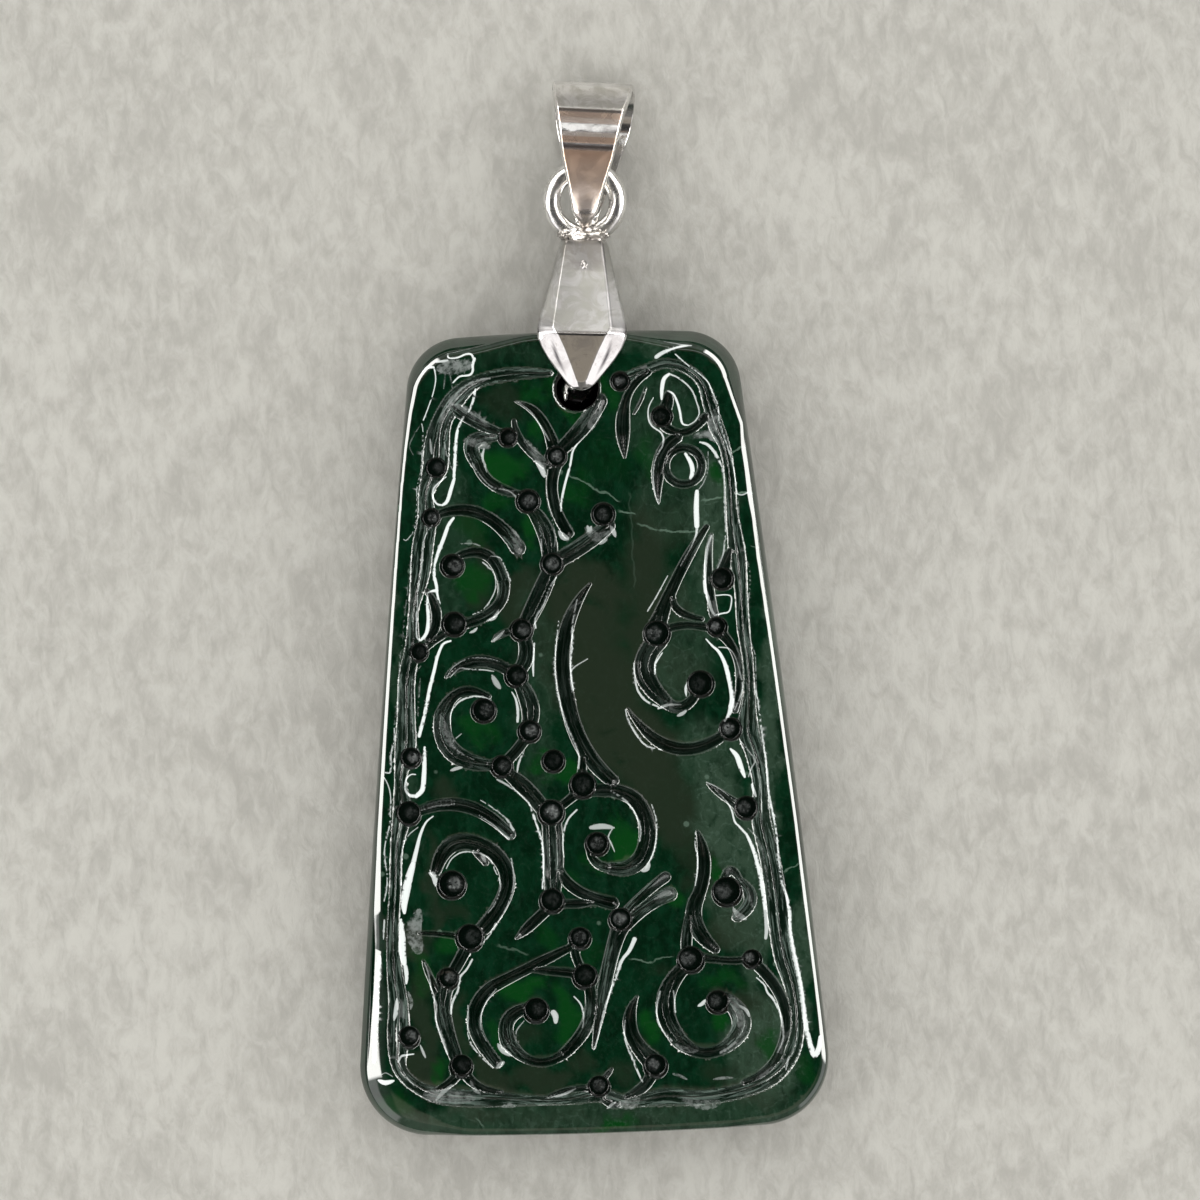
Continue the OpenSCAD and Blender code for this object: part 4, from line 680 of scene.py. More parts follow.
def carved_depth(x, y):
    """Depth cut into the front at the points (x, y)."""
    depth = np.zeros(len(x))
    pillow = np.zeros(len(x))
    field = Field(x, y)

    def sink(rows, gap, strength):
        pillow[rows] = np.maximum(pillow[rows], strength * np.clip(1 - gap / PILLOW_REACH, 0, 1) ** 3)

    for path, slope, _ in wheel:
        for rows, dist, _, half, _ in field.along(path, PILLOW_REACH):
            depth[rows] = np.maximum(depth[rows], groove(dist, half, slope)[0])
            sink(rows, np.maximum(dist - half, 0), PILLOW_DEPTH * np.minimum(half / 0.3, 1.2))
    for x0, y0, r in PITS:
        rows = field.near(x0, y0, x0, y0, r + PILLOW_REACH)
        dist = np.hypot(x[rows] - x0, y[rows] - y0)
        depth[rows] = np.maximum(depth[rows], pit(dist, r))
        sink(rows, np.maximum(dist - r, 0), PILLOW_DEPTH)
    lip = HOLE_LIP_SLOPE * soft_ramp(HOLE_LIP + HOLE[2] - np.hypot(x - HOLE[0], y - HOLE[1]), HOLE_LIP_EDGE)
    return np.maximum(depth + pillow, lip)


def frost_at(x, y, frost):
    """Frosting of a cut: the channel is frosted all along, the scrolls only near the places listed."""
    for x0, y0, rx, ry, amount in FROSTED:
        frost = np.maximum(frost, amount * smooth_step(1.6 - np.hypot((x - x0) / rx, (y - y0) / ry)))
    return frost


def highlights_and_cut_places(x, y, depth):
    """How bright each point's painted highlight is, on worn edges, cut lips and pits, and its place in its
    cut: across, along and how frosted.
    """
    painted_gleam = np.zeros(len(x))
    place = np.zeros((len(x), 3))
    field = Field(x, y)
    for k, (path, slope, frost) in enumerate(wheel):
        for rows, dist, side, half, start in field.along(path, 0.1):
            own, across = groove(dist, half, slope)
            won = own > depth[rows] - 0.07
            rows, across, half = rows[won], across[won], half[won]
            start, side, dist = start[won], side[won], dist[won]
            # Painted highlight along each cut's lips, fainter where frosted
            wave = 0.5 + 0.5 * np.sin(2.3 * start + 4 * side + k) * np.cos(1.1 * start - 2 * side + 2 * k)
            bright = EDGE_GLEAM * (1.15 - 0.5 * frost) * (0.35 + 0.65 * wave)
            bright = bright * np.clip(1 - np.abs(across) / EDGE, 0, 1) * np.clip(half / 0.15, 0.3, 1)
            painted_gleam[rows] = np.maximum(painted_gleam[rows], bright)
            inside = across > 0
            place[rows[inside], 0] = (dist * side)[inside]
            place[rows[inside], 1] = start[inside] + 7.3 * k
            place[rows[inside], 2] = frost_at(x[rows[inside]], y[rows[inside]], frost)
    # Round each pit: a painted highlight ring on its rim, and a painted reflection on its floor, a disc and
    # two crescents set off towards the plaque's middle
    for x0, y0, r in PITS:
        rows = field.near(x0, y0, x0, y0, r + 0.1)
        dx, dy = x[rows] - x0, y[rows] - y0
        dist = np.hypot(dx, dy)
        ring = PIT_RIM_GLEAM * np.clip(1 - np.abs(dist - r + 0.008) / 0.056, 0, 1)
        ring = ring * (0.55 + 0.45 * np.sin(np.arctan2(dy, dx) * 2 + x0 * 3))
        u, v = dx / r, dy / r
        lean = np.clip(x0 / 4, -1, 1)
        own = 0.75 + 0.35 * math.sin(x0 * 7.3 + y0 * 3.1)
        disc = PIT_FLOOR_GLEAM * own * np.clip((1 - np.hypot(u + 0.2 * lean, v) / 0.64) / 0.3, 0, 1)
        disc *= 0.72 + 0.28 * np.sin(13 * u + 9 * v + x0) * np.cos(11 * v - 7 * u + y0)
        for place_u, share in ((-0.42, 0.5 + 0.5 * lean), (0.42, 0.5 - 0.5 * lean)):
            bowed_u = u - place_u + 0.25 * place_u * v * v
            sliver = np.clip(1.25 - np.hypot(bowed_u / 0.15, (v - 0.05) / 0.4), 0, 1)
            disc = np.maximum(disc, (0.35 + 0.4 * share) * own * sliver * (share > 0.15))
        inside = dist < r
        painted_gleam[rows[inside]] = 0
        place[rows[inside]] = 0
        painted_gleam[rows] = np.maximum(painted_gleam[rows], np.maximum(ring, disc))
    # Painted highlight lines, some of them on worn edges
    for path, bright in worn_highlights:
        for rows, dist, _, half, _ in field.along(path, 0.06):
            painted_gleam[rows] = np.maximum(painted_gleam[rows], bright * np.clip((half + 0.018 - dist) / 0.036, 0, 1))
    return painted_gleam, place


def front_height(x, y):
    """Height of the polished and carved front, and the depth of the carving in it."""
    inset = inset_of(x, y)
    inner = smooth_step((inset - 0.5) / 0.6)
    waves = ((0.41, 0.23, 1.3, 0.010), (-0.27, 0.52, 4.1, 0.008), (0.83, -0.44, 2.2, 0.004),
             (0.12, 0.95, 5.3, 0.004))
    uneven = sum(h * np.sin(a * x + b * y + c) for a, b, c, h in waves)
    depth = carved_depth(x, y) * inner
    return PLAQUE_T - rim_drop(inset, *bevel(x, y)) + (uneven - 0.02) * inner - depth, depth


def rows_along(path, offsets, closed_ends):
    """Points beside a path at the given distances, with fans round its two ends."""
    middle = path[:, :2]
    along = np.gradient(middle, axis=0)
    along /= np.maximum(np.linalg.norm(along, axis=1), 1e-9)[:, None]
    across = np.stack([-along[:, 1], along[:, 0]], axis=1)
    sides = [(k, sign) for k in range(offsets.shape[1]) for sign in (1, -1)]
    out = [middle + across * (sign * offsets[:, k])[:, None] for k, sign in sides]
    if closed_ends:
        for end, turn in ((0, -1), (-1, 1)):
            for a in np.radians((-60, -30, 0, 30, 60)):
                ray = turn * along[end] * math.cos(a) + across[end] * math.sin(a)
                out.append(middle[end] + ray * offsets[end][:, None])
    return np.concatenate(out)


def cut_points():
    """Points in rows along the edges of every cut, pit and painted highlight line."""
    found = []
    for path, _ in worn_highlights:
        half = path[:, 2:]
        found.append(rows_along(path, np.concatenate([half * 0.4, half - 0.015, half + 0.02], axis=1), True))
    marked = []
    for path, _, _ in wheel:
        half = path[:, 2:]
        levels = np.array([-1, -0.5, 0, 0.5, 1]) * EDGE
        room = np.maximum(half * (1 + 0.4 * BLUNT) - levels, 0) ** 2 - (BLUNT * half) ** 2
        edges = np.sqrt(np.maximum(room, 0))
        offsets = np.concatenate([edges, edges[:, -1:] * 0.66, edges[:, -1:] * 0.33, half * 0], axis=1)
        points = rows_along(path, offsets, True)
        marked.append((points, len(found)))
        found.append(points)
    for x0, y0, r in PITS:
        n = max(12, int(2 * math.pi * r / STATION * 1.3))
        across_edge = [r + PIT_EDGE + 0.012] + [r + k * PIT_EDGE for k in (0.45, 0, -0.45, -1, -1.7)]
        for q in across_edge + [0.68 * r, 0.5 * r, 0.28 * r]:
            found.append(arc(x0, y0, q, 0, 360, n if q > 0.6 * r else n // 2)[:-1])
        found.append(np.array([(x0, y0)]))
    points = np.concatenate(found)
    kept = np.ones(len(points), bool)
    start = np.cumsum([0] + [len(f) for f in found])
    total = carved_depth(points[:, 0], points[:, 1])
    for (path, slope, _), (mine, k) in zip(wheel, marked):
        own = np.zeros(len(mine))
        for rows, dist, _, half, _ in Field(mine[:, 0], mine[:, 1]).along(path, 0.1):
            own[rows] = np.maximum(own[rows], groove(dist, half, slope)[0])
        kept[start[k]:start[k + 1]] = total[start[k]:start[k + 1]] < own + 0.08
    points = points[kept]
    _, first = np.unique(np.round(points / 0.022).astype(int), axis=0, return_index=True)
    points = points[np.sort(first)]
    inset = inset_of(points[:, 0], points[:, 1])
    return points[inset > bevel(points[:, 0], points[:, 1])[0] + 0.05]


def front_points():
    """Points for the front: rows along the cuts, and between them a grid, closer where the front bends."""
    levels = 5
    size = 2 ** (levels - 1)
    nx = int(PLAQUE_L / 1.6 / FINE_STEP / size) * size
    ny = int(PLAQUE_L / FINE_STEP / size + 1) * size
    gx = (np.arange(nx + 1) - nx / 2) * FINE_STEP
    gy = np.arange(ny + 1) * FINE_STEP
    x, y = np.meshgrid(gx, gy)
    z = front_height(x.ravel(), y.ravel())[0].reshape(x.shape)
    rows = cut_points()
    taken = np.zeros(x.shape, bool)
    column, row = np.round((rows - (gx[0], 0)) / FINE_STEP).astype(int).T
    for i in (-1, 0, 1):
        for j in (-1, 0, 1):
            taken[np.clip(row + i, 0, ny), np.clip(column + j, 0, nx)] = True
    bend = np.zeros(z.shape)
    bend[1:-1, 1:-1] = np.maximum(
        np.abs(z[2:, 1:-1] + z[:-2, 1:-1] - 2 * z[1:-1, 1:-1]),
        np.abs(z[1:-1, 2:] + z[1:-1, :-2] - 2 * z[1:-1, 1:-1]))
    inside = inset_of(x, y) > bevel(x, y)[0] + 0.05
    cells = (bend * ~taken + 3e-6)[:-1, :-1] * inside[:-1, :-1]
    sizes = 2 ** np.arange(levels)
    most = [cells.reshape(ny // n, n, nx // n, n).max(axis=(1, 3)) * n * n / 8 for n in sizes]

    def chosen(slack):
        """Corners of square cells, each split in four while the front bends more than the slack in it."""
        keep = np.zeros(x.shape, bool)
        alive = np.ones(most[-1].shape, bool)
        for k in range(levels - 1, -1, -1):
            at, across = np.nonzero(alive)
            n = 2 ** k
            for i in (0, 1):
                for j in (0, 1):
                    keep[(at + i) * n, (across + j) * n] = True
            alive = np.repeat(np.repeat(alive & (most[k] > slack), 2, axis=0), 2, axis=1)
        return keep & inside & ~taken

    low, high = -12.0, -1.0
    for _ in range(14):
        middle = (low + high) / 2
        if chosen(10 ** middle).sum() > max(FRONT_POINTS - len(rows), 4000):
            low = middle
        else:
            high = middle
    keep = chosen(10 ** high)
    return np.concatenate([rows, np.stack([x[keep], y[keep]], axis=1)])


def filled(points, loop_n, hole_n):
    """Triangles over the points, whose first loop_n are the outside and last hole_n the hole."""
    first = len(points) - hole_n
    edges = [(i, (i + 1) % loop_n) for i in range(loop_n)]
    edges += [(first + i, first + (i + 1) % hole_n) for i in range(hole_n)]
    flat, _, faces, *_ = delaunay_2d_cdt([Vector(p) for p in points.tolist()], edges, [], 0, 1e-7, False)
    flat = np.array([(v.x, v.y) for v in flat])
    faces = np.array(faces)
    middle = flat[faces].mean(axis=1)
    open_hole = np.hypot(middle[:, 0] - HOLE[0], middle[:, 1] - HOLE[1]) < HOLE[2] * 0.995
    return flat, faces[~open_hole]


def tube(rings, start):
    """Two triangles for each square between each ring of points and the next."""
    n = len(rings[0])
    k = start + np.arange(len(rings) - 1)[:, None] * n
    i = np.arange(n)[None, :]
    j = (i + 1) % n
    lower = np.stack([k + i, k + j, k + n + j], axis=-1).reshape(-1, 3)
    upper = np.stack([k + i, k + n + j, k + n + i], axis=-1).reshape(-1, 3)
    return np.concatenate([lower, upper])


def make_plaque():
    """The plaque's points and triangles, the carving's depth at each point, and how many are the front's."""
    edge = outline()
    loop_n = len(edge)
    along = np.roll(edge, -1, axis=0) - np.roll(edge, 1, axis=0)
    inward = np.stack([-along[:, 1], along[:, 0]], axis=1) / np.linalg.norm(along, axis=1)[:, None]
    near, far = bevel(edge[:, 0], edge[:, 1])
    base = PLAQUE_T - rim_drop(0, near, far)

    def ring(inset, z):
        inset = np.zeros(loop_n) + inset
        return np.column_stack([edge + inward * inset[:, None], np.zeros(loop_n) + z])

    quarter = np.radians(np.linspace(0, 90, 13))
    rings = [ring(BACK_RIM * (1 - math.sin(a)), BACK_RIM * (1 - math.cos(a))) for a in quarter[::2]]
    rings += [ring(0, BACK_RIM + (base - BACK_RIM) * t) for t in (0.25, 0.5, 0.75)]
    for a in quarter:
        inset = near * (1 - math.cos(a))
        rings.append(ring(inset, PLAQUE_T - rim_drop(inset, near, far)))
    hole_n = 96
    circle = arc(HOLE[0], HOLE[1], HOLE[2], 0, 360, hole_n)[:-1]
    lips = [arc(HOLE[0], HOLE[1], HOLE[2] + r, 0, 360, hole_n)[:-1] for r in (0.09, 0.18, 0.28)]
    inner = front_points()
    clear = np.hypot(inner[:, 0] - HOLE[0], inner[:, 1] - HOLE[1]) > HOLE[2] + 0.31
    seen_from_above = np.concatenate([rings[-1][:, :2], inner[clear], *lips, circle])
    front, front_faces = filled(seen_from_above, loop_n, hole_n)
    height, depth = front_height(front[:, 0], front[:, 1])
    rings[-1][:, 2] = front_height(rings[-1][:, 0], rings[-1][:, 1])[0]
    back, back_faces = filled(np.concatenate([rings[0][:, :2], circle]), loop_n, hole_n)
    lip_height = front_height(circle[:, 0], circle[:, 1])[0]
    bore = [np.column_stack([circle, lip_height * t]) for t in (1, 0.66, 0.33, 0)]

    points, faces, start = [], [], 0
    for p, f in (
        (np.column_stack([front, height]), front_faces),
        (np.concatenate(rings), tube(rings, 0)),
        (np.concatenate(bore), tube(bore, 0)),
        (np.column_stack([back, np.zeros(len(back))]), back_faces[:, ::-1]),
    ):
        points.append(p)
        faces.append(f + start)
        start += len(p)
    points = np.concatenate(points)
    faces = np.concatenate(faces)
    deep = np.zeros(len(points))
    deep[:len(depth)] = depth
    return points, faces, deep, len(front)


def tilted(points):
    """Turns points by the angle at which the plaque lies."""
    c, s = math.cos(LIE_ANGLE), math.sin(LIE_ANGLE)
    x, y, z = points[:, 0], points[:, 1], points[:, 2]
    return np.stack([x, y * c - z * s, y * s + z * c], axis=1)


def lie_down(points):
    """From the plaque's own place to its place on the table, in metres."""
    return tilted(points) * MM + down


def front_normals(x, y):
    """Directions that the front faces, from its slope over a short step each way."""
    h = 0.006
    dx = (front_height(x + h, y)[0] - front_height(x - h, y)[0]) / (2 * h)
    dy = (front_height(x, y + h)[0] - front_height(x, y - h)[0]) / (2 * h)
    c, s = math.cos(LIE_ANGLE), math.sin(LIE_ANGLE)
    n = np.stack([-dx, -dy * c - s, -dy * s + c], axis=1)
    return n / np.linalg.norm(n, axis=1)[:, None]


def smooth_mesh(name, points, faces):
    """A mesh of these points and faces, shaded smooth."""
    mesh = bpy.data.meshes.new(name)
    mesh.from_pydata(points.tolist(), [], faces.tolist())
    mesh.polygons.foreach_set("use_smooth", np.ones(len(mesh.polygons), bool))
    return mesh


def mark(mesh, name, values):
    """Writes a number or a vector to each point of a mesh, for its material to read."""
    kind, field = ("FLOAT", "value") if values.ndim == 1 else ("FLOAT_VECTOR", "vector")
    mesh.attributes.new(name, kind, "POINT").data.foreach_set(field, values.astype(np.float32).ravel())


def stone_marks(x, y):
    """How brown-grey, how bright green and how cloudy the stone is at each point."""
    wide, fine = 0.25, 0.12
    wander_x = x + wide * np.sin(1.9 * y + 0.6 * x) + fine * np.sin(4.3 * y - 2.2 * x + 1)
    wander_y = y + wide * np.sin(2.1 * x - 0.7 * y + 2) + fine * np.sin(4.9 * x + 1.7 * y)
    out = np.zeros((len(x), 3))
    for column, spots in enumerate((BROWN, GREEN, CLOUDY)):
        for x0, y0, rx, ry, lean, strength in spots:
            c, s = math.cos(math.radians(lean)), math.sin(math.radians(lean))
            u = ((wander_x - x0) * c + (wander_y - y0) * s) / rx
            v = ((wander_y - y0) * c - (wander_x - x0) * s) / ry
            out[:, column] = np.maximum(out[:, column], strength * smooth_step((1.25 - np.hypot(u, v)) / 0.5))
    return out


points, faces, deep, front_n = make_plaque()
down = np.array(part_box("jade_plaque")[0]) - tilted(points).min(axis=0) * MM
down[0] = 0
laid = lie_down(points)
MERGED_WITHIN = 5e-4 * MM
_, first, where = np.unique(np.round(laid / MERGED_WITHIN).astype(np.int64), axis=0, return_index=True,
                            return_inverse=True)
faces = where.ravel()[faces]
faces = faces[(faces[:, 0] != faces[:, 1]) & (faces[:, 1] != faces[:, 2]) & (faces[:, 2] != faces[:, 0])]
mesh = smooth_mesh("jade_plaque_carved", laid[first], faces)
normals = np.array([v.normal for v in mesh.vertices])
chart = points[first]
from_hole = np.hypot(chart[:, 0] - HOLE[0], chart[:, 1] - HOLE[1]) - HOLE[2]
rows = np.nonzero((first < front_n) & (from_hole > 0.01))[0]
normals[rows] = front_normals(chart[rows, 0], chart[rows, 1])
mesh.normals_split_custom_set_from_vertices(normals.tolist())
painted_gleam, place = highlights_and_cut_places(chart[:, 0], chart[:, 1], deep[first])
on_front = first < front_n
mark(mesh, "cut_depth", deep[first])
mark(mesh, "painted_gleam", painted_gleam * on_front)
mark(mesh, "stroke", place * on_front[:, None])
mark(mesh, "chart", chart)
mark(mesh, "stone", stone_marks(chart[:, 0], chart[:, 1]))
plaque = bpy.data.objects.new("jade_plaque_carved", mesh)
bpy.context.scene.collection.objects.link(plaque)


def node_tools(tree):
    """Ways to build on a tree of nodes: add a node, join two sockets, do a sum, and mix two colours."""

    def add(kind, **values):
        node = tree.nodes.new("ShaderNode" + kind)
        for key, value in values.items():
            if key in node.bl_rna.properties:
                setattr(node, key, value)
            elif isinstance(value, bpy.types.NodeSocket):
                tree.links.new(value, node.inputs[key.replace("_", " ")])
            else:
                node.inputs[key.replace("_", " ")].default_value = value
        return node

    def sum_of(operation, *terms):
        node = add("Math", operation=operation)
        for socket, term in zip(node.inputs, terms):
            if isinstance(term, (int, float)):
                socket.default_value = term
            else:
                tree.links.new(term, socket)
        return node.outputs[0]

    def mixed(amount, a, b):
        node = add("Mix", data_type="RGBA")
        for socket, term in zip((node.inputs[0], node.inputs[6], node.inputs[7]), (amount, a, b)):
            if isinstance(term, bpy.types.NodeSocket):
                tree.links.new(term, socket)
            else:
                socket.default_value = (*term, 1) if isinstance(term, tuple) else term
        return node.outputs[2]

    return add, tree.links.new, sum_of, mixed


def new_material(name):
    """A node material, its shader and the ways to build on it."""
    material = bpy.data.materials.new(name)
    material.use_nodes = True
    return material, material.node_tree.nodes["Principled BSDF"], *node_tools(material.node_tree)


def noise_in(place, scale, detail, rough=0.5, bent=0.0):
    """Soft noise in the shader that is being built, as a node socket."""
    node = add("TexNoise", Vector=place, Scale=scale, Detail=detail, Roughness=rough, Distortion=bent)
    return node.outputs["Fac"]


def eased(value, low, high, start=0.0, end=1.0):
    """Smooth step of a value from low to high in the shader that is being built, as a node socket."""
    node = add("MapRange", interpolation_type="SMOOTHSTEP", Value=value, From_Min=low, From_Max=high,
               To_Min=start, To_Max=end)
    return node.outputs["Result"]


jade, shader, add, join, sum_of, mixed = new_material("dark_green_jadeite")
shader.inputs["IOR"].default_value = 1.66
shader.inputs["Specular IOR Level"].default_value = 0.9
chart_in = add("Attribute", attribute_name="chart").outputs["Vector"]
stone_in = add("SeparateXYZ", Vector=add("Attribute", attribute_name="stone").outputs["Vector"]).outputs
stroke_in = add("Attribute", attribute_name="stroke").outputs["Vector"]
stroke_parts = add("SeparateXYZ", Vector=stroke_in).outputs
painted_gleam_in = add("Attribute", attribute_name="painted_gleam").outputs["Fac"]
depth_in = add("Attribute", attribute_name="cut_depth").outputs["Fac"]

drift = noise_in(chart_in, 0.55, 3, 0.55, 0.6)
fibre = noise_in(add("Mapping", Vector=chart_in, Scale=(1.7, 1.0, 1.0)).outputs["Vector"], 1.3, 5, 0.62, 0.5)
grain = noise_in(chart_in, 5.5, 4, 0.6, 0.3)

# Each layer of the stone: how much of it shows, where its noise begins and ends, and its colour
body = mixed(eased(drift, 0.36, 0.64), (0.0001, 0.0058, 0.0018), (0.0004, 0.0100, 0.0032))
for amount, pattern, low, high, colour in (
    (0.65, fibre, 0.42, 0.66, (0.0015, 0.0165, 0.0066)),
    (0.22, grain, 0.52, 0.74, (0.0065, 0.0200, 0.0095)),
    (stone_in["X"], drift, 0.15, 0.45, (0.0088, 0.0142, 0.0078)),
    (stone_in["Z"], fibre, 0.15, 0.62, (0.0185, 0.0345, 0.0215)),
    (stone_in["Y"], drift, 0.2, 0.5, (0.0012, 0.0245, 0.0034)),
):
    body = mixed(sum_of("MULTIPLY", eased(pattern, low, high), amount), body, colour)

# Hairline veins and a few pale specks inside the stone, bent aside by this much on average
MEAN_BEND = 0.25
bend = add("TexNoise", Vector=chart_in, Scale=1.6, Detail=2.0).outputs["Color"]
bent = add("VectorMath", operation="MULTIPLY_ADD")
join(bend, bent.inputs[0])
bent.inputs[1].default_value = (2 * MEAN_BEND, 2 * MEAN_BEND, 0.0)
join(chart_in, bent.inputs[2])
bent_at = bent.outputs["Vector"]
cracks = add("TexVoronoi", feature="DISTANCE_TO_EDGE", Vector=bent_at, Scale=1.15, Randomness=1.0)
net = sum_of("MULTIPLY", eased(cracks.outputs["Distance"], 0.01, 0.08, 0.4, 0), eased(grain, 0.42, 0.6))
net = sum_of("MULTIPLY", net, sum_of("MULTIPLY_ADD", stone_in["Z"], 0.8, 0.08))
body = mixed(net, body, (0.045, 0.074, 0.054))
vein_parts = add("SeparateXYZ", Vector=bent_at).outputs
veins = 0.0
for x0, y0, x1, y1, strength in VEINS:
    length = math.hypot(x1 - x0, y1 - y0)
    dx, dy = (x1 - x0) / length, (y1 - y0) / length
    px = sum_of("SUBTRACT", vein_parts["X"], x0 + MEAN_BEND)
    py = sum_of("SUBTRACT", vein_parts["Y"], y0 + MEAN_BEND)
    t = sum_of("MULTIPLY_ADD", px, dx, sum_of("MULTIPLY", py, dy))
    off = sum_of("ABSOLUTE", sum_of("MULTIPLY_ADD", px, -dy, sum_of("MULTIPLY", py, dx)))
    ends = sum_of("MULTIPLY", eased(t, -0.1, 0.15), eased(t, length - 0.15, length + 0.1, 1, 0))
    veins = sum_of("MAXIMUM", veins, sum_of("MULTIPLY", eased(off, 0.02, 0.07, strength, 0), ends))
flecks = add("TexVoronoi", feature="F1", Vector=chart_in, Scale=0.42, Randomness=1.0)
veins = sum_of("MAXIMUM", veins, eased(flecks.outputs["Distance"], 0.045, 0.08, 0.5, 0))
body = mixed(veins, body, (0.075, 0.115, 0.085))

# The wheel's marks: frosted streaks that run along each cut, and painted shade that darkens each cut with its
# depth
streak_at = add("Mapping", Vector=stroke_in, Scale=(8.0, 0.55, 0.0))
streak = noise_in(streak_at.outputs["Vector"], 1, 3, 0.6, 0.35)
frost = stroke_parts["Z"]
# Painted shade: the deeper the cut, the darker, a little less where frosted
dark = sum_of("MULTIPLY", eased(depth_in, 0.03, 0.16), sum_of("MULTIPLY_ADD", frost, -0.45, 1.0))
body = mixed(dark, body, (0.0003, 0.0032, 0.0016))
raked = sum_of("MULTIPLY", frost, sum_of("MULTIPLY_ADD", frost, 0.8, 0.1))
body = mixed(sum_of("MULTIPLY", eased(streak, 0.49, 0.63), raked), body, (0.115, 0.155, 0.132))

# Painted highlights on worn edges, cut lips and pits: their gleam is the share of white they show
line_breaks = noise_in(chart_in, 2.6, 3, 0.7)
faint = sum_of("LESS_THAN", painted_gleam_in, 0.56)
line_gaps = sum_of("MULTIPLY", sum_of("SUBTRACT", eased(line_breaks, 0.3, 0.62), 1.0), faint)
uneven = sum_of("MULTIPLY_ADD", line_gaps, 0.75, 1.0)
shown = sum_of("POWER", sum_of("MULTIPLY", painted_gleam_in, uneven), 2.0)
# Painted highlight: the base colour turns pale grey with the gleam
body = mixed(shown, body, (0.50, 0.53, 0.51))
join(body, shader.inputs["Base Color"])

polish = sum_of("MULTIPLY_ADD", grain, 0.03, 0.03)
rough = sum_of("ADD", polish, sum_of("MULTIPLY", eased(depth_in, 0.03, 0.2, 0.0, 0.13), frost))
join(sum_of("MAXIMUM", rough, sum_of("MULTIPLY", painted_gleam_in, 0.3)), shader.inputs["Roughness"])
ripple = add("Bump", Strength=0.5, Distance=0.00002, Height=sum_of("MULTIPLY", streak, frost))
hand = add("Bump", Strength=0.35, Distance=0.00002, Height=noise_in(chart_in, 0.8, 1),
           Normal=ripple.outputs["Normal"])
join(hand.outputs["Normal"], shader.inputs["Normal"])
mesh.materials.append(jade)
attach(plaque, "root")
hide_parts("jade_plaque")

# Pinch bail, leaves
# One piece of polished white metal: two pointed leaves with ground facets that grip the plaque from the front
# and the back, meet in a neck above its top edge, and carry a short peg each in the plaque's hole.
PEG = (0.42, 39.65)
CLIP_LEAN = math.radians(2.9)
LEAF_FACE = PLAQUE_T / 2 + 0.06
LEAF_TIP = -0.77
LEAF_CREST = 2.15
LEAF_NECK = 5.3
LEAF_TOP = 7.12
PEG_R = 0.42
PEG_L = 1.3
# Distance up from the peg, half width of the leaf
LEAF_WIDTHS = [
    (-0.77, 0.06), (-0.74, 0.24), (-0.64, 0.46), (-0.45, 0.7), (-0.1, 0.99), (0.4, 1.38), (0.9, 1.76),
    (1.4, 2.07), (1.8, 2.25), (2.2, 2.33), (2.6, 2.31), (3.1, 2.2), (4, 1.97), (5, 1.72), (6, 1.48),
    (6.7, 1.32), (7, 1.22), (7.12, 1.08),
]
# Distance up, half width of the middle facet, height of that facet, height of the leaf's edge
LEAF_FACETS = [
    (-0.77, 0.03, 0.24, 0.2), (-0.6, 0.1, 0.38, 0.24), (-0.3, 0.2, 0.5, 0.26), (0.5, 0.5, 0.66, 0.28),
    (1.4, 0.88, 0.83, 0.3), (2.08, 1.22, 0.945, 0.33), (2.17, 1.32, 0.94, 0.32), (2.5, 1.5, 0.85, 0.2),
    (4.6, 1.25, -0.13, -0.6), (6.9, 0.95, -1.14, -1.66), (7.05, 0.85, -1.26, -1.75),
    (7.12, 0.7, -1.42, -1.85),
]


def chamfered(corners, cut, n):
    """Rounds the corners of an open line: each becomes n + 1 points, and its cut is how far it reaches."""
    out = [np.array(corners[0], float)]
    for i in range(1, len(corners) - 1):
        p, q, r = (np.array(c, float) for c in corners[i - 1:i + 2])
        a = q + (p - q) * min(cut[i - 1] / max(np.linalg.norm(p - q), 1e-9), 0.45)
        b = q + (r - q) * min(cut[i - 1] / max(np.linalg.norm(r - q), 1e-9), 0.45)
        for k in range(n + 1):
            t = k / n
            out.append((1 - t) ** 2 * a + 2 * t * (1 - t) * q + t * t * b)
    out.append(np.array(corners[-1], float))
    return np.array(out)


def leaf_section(up):
    """Cross section of the leaf as x and height above its flat inner face."""
    half = looked_up(LEAF_WIDTHS, up)
    middle, top, edge = (looked_up(LEAF_FACETS, up, k) for k in (1, 2, 3))
    middle = min(middle, half * 0.8)
    low = np.interp(up, [LEAF_CREST + 0.1, LEAF_TOP], [0, -LEAF_FACE - 0.15])
    crown = 0.012 * min(half, 1.5)
    corners = [(0, low), (half - 0.02, low), (half, low + 0.5 * (edge - low)), (half, edge),
               (middle, top - 0.5 * crown), (0, top + crown * 0.3)]
    halves = []
    for soft in (0.1, 0.035):
        part = chamfered(corners, (0.08, 0.05, 0.12, soft), 4)
        flank = np.linspace(part[-7], part[-6], 12)[1:-1]
        halves.append(np.concatenate([part[:-6], flank, part[-6:]]))
    left = halves[1][::-1][1:-1] * (-1, 1)
    return np.concatenate([halves[0], left])


def skin(rings, closed):
    """Faces between rings of points, with both ends filled unless the row of rings is closed."""
    n = len(rings[0])
    faces = []
    for k in range(len(rings) - (0 if closed else 1)):
        a, b = k * n, (k + 1) % len(rings) * n
        for i in range(n):
            j = (i + 1) % n
            faces.append((a + i, a + j, b + j, b + i))
    if not closed:
        faces.append(tuple(range(n))[::-1])
        faces.append(tuple(range((len(rings) - 1) * n, len(rings) * n)))
    return faces


